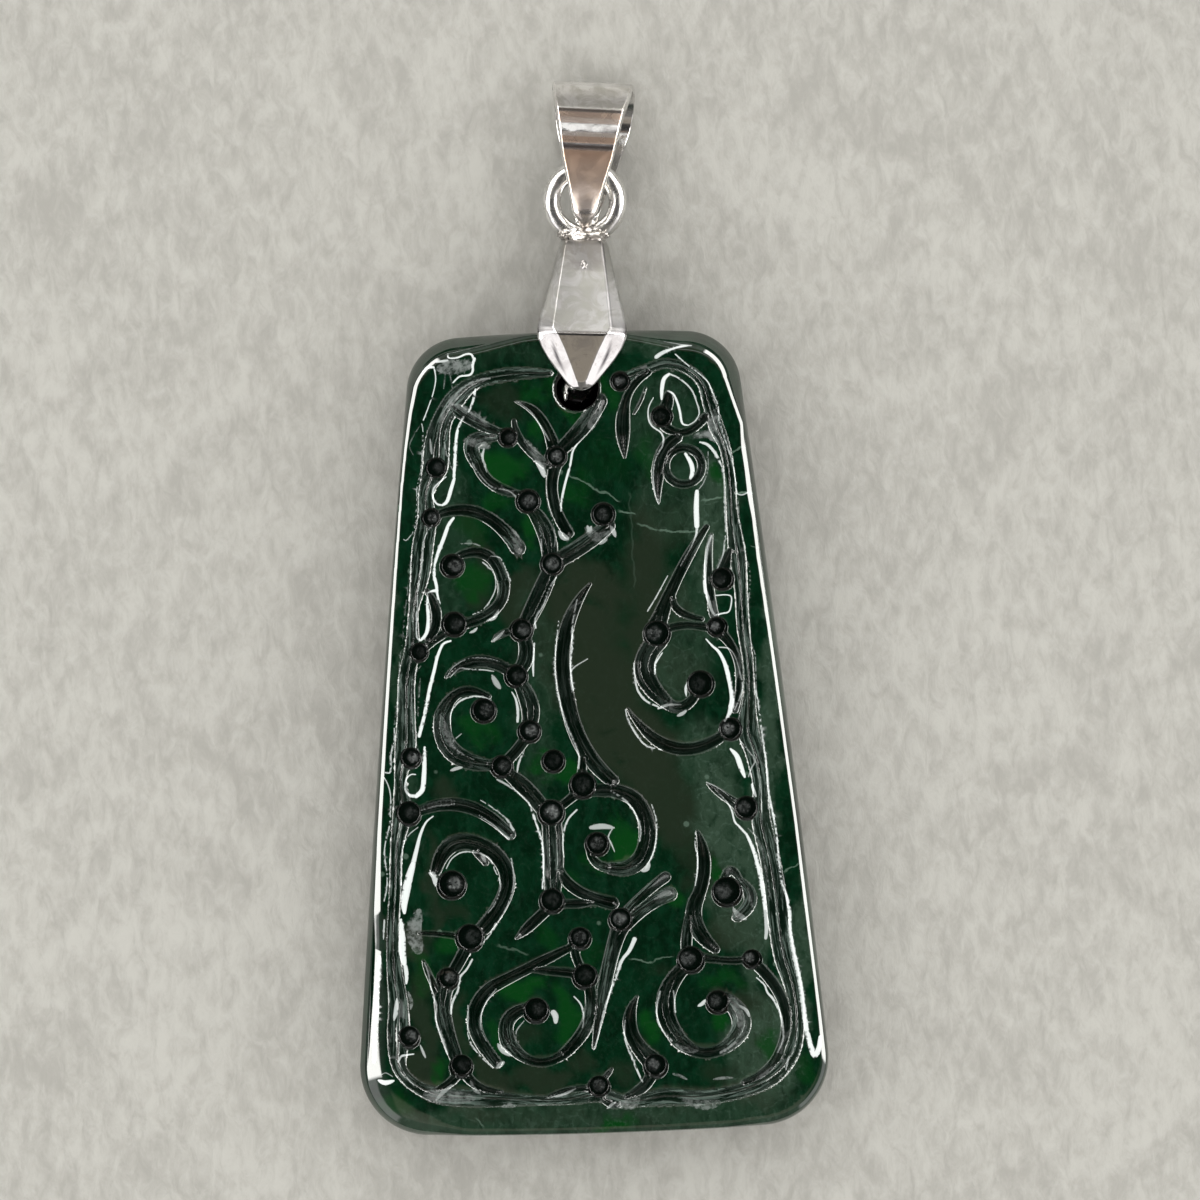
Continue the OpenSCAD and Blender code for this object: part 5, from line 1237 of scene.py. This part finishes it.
def leaf_mesh():
    """A leaf from its tip to its neck, with more rings where it bends more."""
    steps = ((LEAF_TIP, -0.4, 14), (-0.4, 1.9, 30), (1.9, 2.6, 26), (2.6, 6.9, 30), (6.9, LEAF_TOP, 8))
    ups = np.unique(np.concatenate([np.linspace(*step) for step in steps]))
    rings = []
    for up in ups:
        section = leaf_section(up)
        rings.append(np.column_stack([section[:, 0], np.full(len(section), up), section[:, 1] + LEAF_FACE]))
    return np.concatenate(rings), skin(rings, False)


def lump_mesh(centre, size, seed, rough):
    """A lumpy drop of solder."""
    ball = bmesh.new()
    bmesh.ops.create_icosphere(ball, subdivisions=4, radius=1)
    for v in ball.verts:
        large = noise.noise(v.co * 1.9 + Vector((seed, 0, 0)))
        small = noise.noise(v.co * 4.3 + Vector((0, seed, 0)))
        w = 1 + rough * large + rough * 0.5 * small
        v.co = Vector([v.co[k] * w * size[k] + centre[k] for k in range(3)])
    points = np.array([v.co for v in ball.verts])
    faces = [tuple(v.index for v in f.verts) for f in ball.faces]
    ball.free()
    return points, faces


def peg_mesh():
    """A round peg with a softened end, below its leaf."""
    rings = []
    for z, r in ((0.3, PEG_R), (-PEG_L + 0.12, PEG_R), (-PEG_L + 0.04, PEG_R * 0.93), (-PEG_L, PEG_R * 0.75)):
        circle = arc(0, 0, r, 0, 360, 32)[:-1]
        rings.append(np.column_stack([circle, np.full(32, z + LEAF_FACE)]))
    return np.concatenate(rings), skin(rings, False)


def on_plaque(points):
    """From the pinch bail's own place, its peg at the origin in the plaque's mid plane, to the table."""
    c, s = math.cos(CLIP_LEAN), math.sin(CLIP_LEAN)
    x, y = points[:, 0] * c + points[:, 1] * s + PEG[0], points[:, 1] * c - points[:, 0] * s + PEG[1]
    return lie_down(np.column_stack([x, y, points[:, 2] + PLAQUE_T / 2]))


def joined(name, parts, place):
    """One object of several parts, each its points and faces, put in their place on the table."""
    points, faces, start = [], [], 0
    for p, f in parts:
        points.append(p)
        faces += [tuple(i + start for i in face) for face in f]
        start += len(p)
    mesh = bpy.data.meshes.new(name)
    mesh.from_pydata(place(np.concatenate(points)).tolist(), [], faces)
    skins = bmesh.new()
    skins.from_mesh(mesh)
    bmesh.ops.recalc_face_normals(skins, faces=skins.faces)
    skins.to_mesh(mesh)
    skins.free()
    mesh.polygons.foreach_set("use_smooth", np.ones(len(mesh.polygons), bool))
    obj = bpy.data.objects.new(name, mesh)
    bpy.context.scene.collection.objects.link(obj)
    return obj


def leaf_finish_and_painted_shade(points):
    """Satin, warm and dark shares: a dull upper face, a dark stained neck, and painted shade: a streak on
    each bright lower flank, the upper flanks and the facet edges dimmed, and the leaves' inner faces inside
    the hole darkened.
    """
    x, up, z = np.abs(points[:, 0]), points[:, 1], points[:, 2]
    facet = looked_up(LEAF_FACETS, up)
    satin = np.clip((up - LEAF_CREST) / 0.2, 0, 1)
    t = (up - 0.15) / 1.6
    spine = looked_up(LEAF_WIDTHS, up) * (0.74 - 0.06 * t)
    # Painted shade: a dark streak down each bright lower flank
    streak = np.clip(1.3 - np.hypot((x - spine) / 0.1, (t - 0.5) / 0.5), 0, 1) * (np.abs(z) > LEAF_FACE + 0.2)
    neck = 0.58 * smooth_step((up - LEAF_NECK) / 0.35) * smooth_step((1.2 - x) / 0.3)
    # Painted shade dims the upper flanks, most near the crest
    flank = 0.5 * satin * (x > facet + 0.06)
    flank *= 1 + 0.5 * smooth_step(3.3 - up)
    flank = np.maximum(flank, 0.88 * np.clip(1.2 - np.abs(up - 2.3) / 0.25, 0, 1) * (flank > 0))
    # Painted shade dims the middle facet's edges, more on the right
    edge = satin * (np.abs(x - facet) < 0.09)
    edge *= np.where(points[:, 0] > 0, 0.8, 0.4)
    burr = (z > 0.85) & (points[:, 0] < -0.3)
    # Painted shade: the leaves' inner faces, the pegs and the lump low in the hole are darkened, but not the
    # burrs
    hidden = 0.95 * (np.abs(z + 0.2) < LEAF_FACE - 0.15) * (up < 2.5) * ~burr
    dark = np.max([streak, neck, 0.2 * satin, flank, edge, hidden], axis=0)
    return np.column_stack([satin, 0.3 * neck, dark])


silver, shader, add, join, sum_of, mixed = new_material("polished_white_metal")
metal_at = add("TexCoord").outputs["Object"]
finish_and_painted_light_in = add("Attribute", attribute_name="finish_and_painted_light").outputs["Vector"]
satin_in, warm_in, shade_in = add("SeparateXYZ", Vector=finish_and_painted_light_in).outputs
dents = noise_in(metal_at, 420, 3, 0.55, 0.4)
clouds = noise_in(metal_at, 650, 5, 0.62, 1.2)
pores = noise_in(metal_at, 3200, 3, 0.6)
tarnish_and_painted_reflection = mixed(eased(clouds, 0.4, 0.62), (0.89, 0.88, 0.87), (0.70, 0.68, 0.67))
tarnish_and_painted_reflection = mixed(eased(pores, 0.62, 0.78, 0.0, 0.6), tarnish_and_painted_reflection, (0.5, 0.47, 0.44))
tarnish_and_painted_reflection = mixed(sum_of("MULTIPLY", satin_in, eased(clouds, 0.38, 0.6)), tarnish_and_painted_reflection, (0.55, 0.545, 0.50))
# Warm tint: a painted reflection of warm surroundings on the hanging bail, and a stain on the neck; warm
# parts are also a little less metallic
tarnish_and_painted_reflection = mixed(warm_in, tarnish_and_painted_reflection, (0.42, 0.29, 0.215))
join(sum_of("MULTIPLY_ADD", warm_in, -0.1, 1.0), shader.inputs["Metallic"])
# Dark share: mostly painted shade on the leaves and at the bail's fold and crease, and also the neck's stain,
# the duller upper face and the solder
join(mixed(shade_in, tarnish_and_painted_reflection, (0.08, 0.075, 0.082)), shader.inputs["Base Color"])
rough = sum_of("ADD", 0.07, eased(clouds, 0.35, 0.75, 0.0, 0.12))
join(sum_of("MULTIPLY_ADD", satin_in, 0.28, rough), shader.inputs["Roughness"])
dented = add("Bump", Strength=0.7, Distance=0.00006, Height=dents)
grainy = add("Bump", Strength=0.4, Distance=0.000008, Height=pores, Normal=dented.outputs["Normal"])
join(grainy.outputs["Normal"], shader.inputs["Normal"])

# Burrs beside the leaf's tip, a broad lump low in the hole that is darkened as painted shade there, and a
# drop on the
# neck: middle, half sizes, seed, roughness
LUMPS = [
    ((-0.5, -0.35, 1.35), (0.22, 0.4, 0.25), 4, 0.4), ((-0.8, -0.8, 1.3), (0.12, 0.4, 0.2), 7, 0.6),
    ((-0.2, -0.66, -1.75), (1.1, 1.1, 0.35), 9, 0.05),
]
NECK_DROP = ((0.02, 5.72, LEAF_FACE - 0.63), (0.17, 0.3, 0.1), 5, 0.5)
front_half = [leaf_mesh(), peg_mesh()]
leaf_parts = front_half + [lump_mesh(*lump) for lump in LUMPS]
leaf_parts += [(p * (1, 1, -1), f) for p, f in front_half] + [lump_mesh(*NECK_DROP)]
leaves = joined("pinch_bail_leaves", leaf_parts, on_plaque)
mark(leaves.data, "finish_and_painted_light", leaf_finish_and_painted_shade(np.concatenate([p for p, _ in leaf_parts])))
leaves.data.materials.append(silver)
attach(leaves, "root")

# Pinch bail, ring
# A ring of round wire closed and soldered onto the top of the neck, with the solder left a little lumpy.
RING_R = 1.725
RING_UP = 9.17
WIRE_R = 0.5


def ring_mesh():
    """A ring of round wire with slightly uneven skin."""
    rings = []
    for a in np.radians(np.arange(0, 360, 2.5)):
        section = arc(0, 0, WIRE_R, 0, 360, 36)[:-1]
        for p in section:
            at = Vector((1.7 * math.cos(a), 1.7 * math.sin(a), 0)) + Vector((p[0], p[1], p[0])) * 1.2
            p *= 0.955 + 0.04 * noise.noise(at * 1.7)
        out = RING_R + section[:, 0]
        rings.append(np.column_stack([out * math.cos(a), RING_UP + out * math.sin(a), section[:, 1]]))
    return np.concatenate(rings), skin(rings, True)


# Drops of solder: middle, half sizes, seed, roughness
SOLDER = [
    ((0, 7.36, 0.06), (1.15, 0.46, 0.78), 3.1, 0.3), ((-1.02, 7.5, 0.16), (0.38, 0.34, 0.34), 8.4, 0.45),
    ((0.92, 7.55, 0.12), (0.42, 0.34, 0.36), 5.2, 0.45), ((-0.35, 7.62, 0.3), (0.3, 0.2, 0.22), 2.2, 0.5),
    ((0.4, 7.6, 0.32), (0.26, 0.18, 0.2), 6.1, 0.5),
]
ring_parts = [ring_mesh()] + [lump_mesh(*drop) for drop in SOLDER]
ring_piece = joined("pinch_bail_ring", ring_parts, on_plaque)
ring_finish = np.full((len(ring_piece.data.vertices), 3), (0.8, 0.2, 0.3))
ring_finish[:len(ring_parts[0][0])] = (0.5, 0, 0)
mark(ring_piece.data, "finish_and_painted_light", ring_finish)
ring_piece.data.materials.append(silver)
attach(ring_piece, "root")
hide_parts("pinch_bail")
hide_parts("pinch_bail")

# Hanging bail
# One tapered strip of the same metal folded into a loop through the ring. Its wide end is creased, its front
# edges are bevelled, and it rests on the table and on the ring's wire.
LOOP_R = 2.2
FOLD_R = 0.65
LOOP_L = 8.0
LOOP_T = 0.5
LOOP_LEAN = math.radians(4.5)
DROOP = math.radians(20.4012)
LOOP_PLACE = (1.26259, 25.3044, LOOP_R + 0.03)
LOOP_WIDTHS = [
    (-0.2, 2.2), (1.65, 1.93), (4.8, 1.35), (6.15, 0.98), (6.95, 0.8), (7.4, 0.7), (7.75, 0.56), (8, 0.34),
]
BEVEL_W = 0.2
LOOP_TWIST = 0.045


def curve(p, q, r, n):
    """Bend from p to r whose ends point at q."""
    t = np.linspace(0, 1, n)[:, None]
    return (1 - t) ** 2 * np.array(p) + 2 * t * (1 - t) * np.array(q) + t * t * np.array(r)


def loop_side():
    """Side view of the loop's outer face, from the fold over the top: distance along the table and height."""
    loop_d = LOOP_L - LOOP_R - FOLD_R
    lean = math.asin((LOOP_R - FOLD_R) / loop_d)
    tilt = math.degrees(DROOP - lean)
    fold = np.array([-loop_d * math.cos(DROOP), loop_d * math.sin(DROOP)])
    top = arc(fold[0], fold[1], FOLD_R, 180, 90 - tilt, 16)
    end = arc(0, 0, LOOP_R, 90 - tilt, 90 - tilt, 1)[0]
    along = (end - top[-1]) / np.linalg.norm(end - top[-1])
    start = end - along * 1.35
    crease = np.array([0.73, LOOP_R * math.sin(math.radians(70.6)) - 0.14])
    meet = start + along * (crease[0] - start[0]) * 0.5
    bend = curve(start + along * 0.06 - (0, 0.012), meet, crease, 26)
    end_low = arc(0, 0, LOOP_R, 14, 14, 1)[0]
    bulge = (crease + end_low) / 2 + np.array([0.13, 0.13])
    facet = curve(crease + (0.035, -0.035), bulge, end_low, 24)
    strip = np.linspace(top[-1], start, 20)[1:]
    under = arc(0, 0, LOOP_R, 12, -90 - math.degrees(DROOP + lean), 44)
    low_end = arc(fold[0], fold[1], FOLD_R, -90 - math.degrees(DROOP + lean), -180, 14)
    low_strip = np.linspace(under[-1], low_end[0], 24)[1:-1]
    return np.concatenate([top, strip, bend, facet, under, low_strip, low_end[:-1]])


def loop_mesh():
    """The strip's section swept round the side view."""
    side = loop_side()
    along = np.roll(side, -1, axis=0) - np.roll(side, 1, axis=0)
    along /= np.linalg.norm(along, axis=1)[:, None]
    outward = np.stack([-along[:, 1], along[:, 0]], axis=1)
    rings = []
    for (y, z), (ny, nz) in zip(side, outward):
        from_end = LOOP_R - (y * math.cos(DROOP) - z * math.sin(DROOP))
        half = looked_up(LOOP_WIDTHS, from_end)
        bevel_w = min(BEVEL_W, half * 0.5)
        crown = 0.11 * smooth_step((from_end - 6.1) / 0.8)
        corners = [(0, crown), (half * 0.42, crown * 0.85), (half - bevel_w * 0.6, 0),
                   (half, -bevel_w * 0.55), (half, -LOOP_T), (0, -LOOP_T)]
        right = chamfered(corners, (half * 0.25, 0.05, 0.06, 0.05), 3)
        left = right[::-1][1:-1] * (-1, 1)
        section = np.concatenate([right, left])
        rings.append(np.column_stack([
            section[:, 0] - LOOP_TWIST * (z - LOOP_R), y + ny * section[:, 1], z + nz * section[:, 1]]))
    return np.concatenate(rings), skin(rings, True)


def on_ring(points):
    """From the hanging bail's own place to its place on the table, in metres."""
    c, s = math.cos(LOOP_LEAN), math.sin(LOOP_LEAN)
    x, y = points[:, 0] * c + points[:, 1] * s, points[:, 1] * c - points[:, 0] * s
    return (np.column_stack([x, y, points[:, 2]]) + LOOP_PLACE) * MM


def loop_finish_and_painted_light():
    """Satin, warm and dark shares of each ring of points, from the fold over the crease and the wide end: the
    warm rows are painted reflections, and the dark line and crease rows are painted shade.
    """
    # Warm fold, strip, pink, grey and beige rows are painted reflections; the dark line and crease rows are
    # painted shade
    fold = [(0.5, 0.35, 0.1)] * 17
    strip = [(0.8, 0.55 + 0.03 * k, 0) for k in range(17)]
    line, pink, grey = [(0.2, 0.3, 0.75)] * 2, [(0.6, 0.9, 0)] * 5, [(0.6, 0.4, 0.1)] * 3
    bright = [(0, 0, 0)] * 6
    beige = [(0.5, 0.6, 0)] * 4 + [(0.5, 0.8, 0)] * 4
    crease = [(0.3, 0.4, 0.7)] * 2
    wide_end = [(0.75, 0.1, 0)] * 22
    rows = fold + strip + line + pink + grey + bright + beige + crease + wide_end
    rows += [(0.3, 0, 0.1)] * (len(loop_side()) - len(rows))
    points = loop_mesh()[0].reshape(len(rows), -1, 3)
    x = np.abs(points[:, :, 0] + LOOP_TWIST * (points[:, :, 2] - LOOP_R))
    half = x.max(axis=1, keepdims=True)
    finish_and_painted_light = np.repeat(np.array(rows, float)[:, None], points.shape[1], axis=1)
    finish_and_painted_light[x > half - np.minimum(BEVEL_W, half * 0.5) * 0.55] = (0.25, 0.0, 0.0)
    return finish_and_painted_light.reshape(-1, 3)


loop = joined("hanging_bail_loop", [loop_mesh()], on_ring)
mark(loop.data, "finish_and_painted_light", loop_finish_and_painted_light())
loop.data.materials.append(silver)
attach(loop, "root")
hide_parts("hanging_bail")

# Table top
# A pale grey cloth-like surface under the pendant, only there to lie on.
table = bpy.data.objects.new("table", bpy.data.meshes.new("table"))
TABLE_HALF = 1.2
corners = [(x * TABLE_HALF, y * TABLE_HALF, 0) for x, y in ((-1, -1), (1, -1), (1, 1), (-1, 1))]
table.data.from_pydata(corners, [], [(0, 1, 2, 3)])
bpy.context.scene.collection.objects.link(table)
paper, shader, add, join, sum_of, mixed = new_material("pale_table")
cloth_at = add("TexCoord").outputs["Object"]
fluff = noise_in(cloth_at, 140, 5, 0.6, 1.2)
turned = add("Mapping", Vector=cloth_at, Rotation=(0, 0, 0.9), Scale=(1, 0.5, 1)).outputs["Vector"]
threads = noise_in(turned, 1300, 5, 0.7, 0.4)
nap = sum_of("MULTIPLY_ADD", threads, 0.6, sum_of("MULTIPLY", fluff, 0.4))
join(mixed(eased(nap, 0.36, 0.64), (0.226, 0.219, 0.196), (0.302, 0.295, 0.266)), shader.inputs["Base Color"])
shader.inputs["Roughness"].default_value = 0.95
join(add("Bump", Strength=0.5, Distance=0.0002, Height=nap).outputs["Normal"], shader.inputs["Normal"])
table.data.materials.append(paper)

# Light
# A room seen from the table: a dim patch overhead, pale walls, and a large soft light at left and at right.
# Polished faces mirror its zones, and dull ones are lit evenly from all round.
EVEN_LIGHT = 2.05
OVERHEAD = (0.009, 0.009, 0.008)
LAMPS = (8.5, 8.4, 8.1)
LOW_GLOW = (0.9, 0.87, 0.88)
SIDE_WALLS = (0.2, 0.195, 0.19)
# Zones towards the top of the picture: from and to in degrees from overhead, softness, half width, colour
NARROW_ZONE = (24, 6)
WIDE_ZONE = (55, 10)
ZONES = [
    (-36, -20, 7, NARROW_ZONE, (0.24, 0.21, 0.17)), (-90, -40, 8, WIDE_ZONE, (0.12, 0.115, 0.105)),
    (10, 16, 1.5, NARROW_ZONE, (0.15, 0.105, 0.08)), (19.5, 25, 1, NARROW_ZONE, (1, 0.99, 0.97)),
    (28, 38, 2, WIDE_ZONE, (0.18, 0.15, 0.115)), (42, 58, 3, WIDE_ZONE, (0.4, 0.395, 0.375)),
    (62, 90, 4, WIDE_ZONE, (0.25, 0.24, 0.22)),
]
world = bpy.data.worlds.new("soft_room")
bpy.context.scene.world = world
world.use_nodes = True
add, join, sum_of, mixed = node_tools(world.node_tree)


def times(a, b):
    """Product of two values."""
    return sum_of("MULTIPLY", a, b)


def degrees(operation, *terms):
    """Angle that an inverse function gives, in degrees."""
    return times(sum_of(operation, *terms), 180 / math.pi)


def band(value, low, high, soft):
    """One between low and high, and a soft edge of that width outside each."""
    return times(eased(value, low - soft, low), eased(value, high, high + soft, 1, 0))


def lit(total, mask, colour):
    """The light so far, with a zone of this colour added where its mask is."""
    zone = add("VectorMath", operation="SCALE", Scale=mask)
    zone.inputs[0].default_value = colour
    both = add("VectorMath", operation="ADD")
    join(total, both.inputs[0])
    join(zone.outputs["Vector"], both.inputs[1])
    return both.outputs["Vector"]


dx, dy, dz = add("SeparateXYZ", Vector=add("TexCoord").outputs["Generated"]).outputs
from_top = degrees("ARCCOSINE", dz)
to_right, to_left = degrees("ARCTAN2", dy, dx), degrees("ARCTAN2", dy, times(dx, -1))
across, ahead = degrees("ARCTAN2", dx, dz), degrees("ARCTAN2", dy, dz)
level = sum_of("SQRT", sum_of("MULTIPLY_ADD", dx, dx, sum_of("MULTIPLY_ADD", dy, dy, 0.0001)))
sideways = sum_of("POWER", sum_of("ABSOLUTE", times(dx, sum_of("DIVIDE", 1, level))), 1.5)


def on_both_sides(height, low, high):
    """A zone at a height, and low to high degrees round from the right and from the left."""
    return times(height, sum_of("ADD", band(to_right, low, high, 4), band(to_left, low, high, 4)))


room = lit(add("CombineXYZ", X=OVERHEAD[0], Y=OVERHEAD[1], Z=OVERHEAD[2]).outputs["Vector"],
           on_both_sides(band(from_top, 40, 68, 3), -12, 58), LAMPS)
room = lit(room, on_both_sides(band(from_top, 50, 72, 5), -55, -16), LOW_GLOW)
room = lit(room, times(band(from_top, 45, 100, 25), sideways), SIDE_WALLS)
for low, high, soft, (reach, fade), colour in ZONES:
    room = lit(room, times(band(ahead, low, high, soft), band(across, -reach, reach, fade)), colour)
mirrored = add("LightPath").outputs["Is Glossy Ray"]
join(mixed(mirrored, (EVEN_LIGHT,) * 3, room), world.node_tree.nodes["Background"].inputs["Color"])
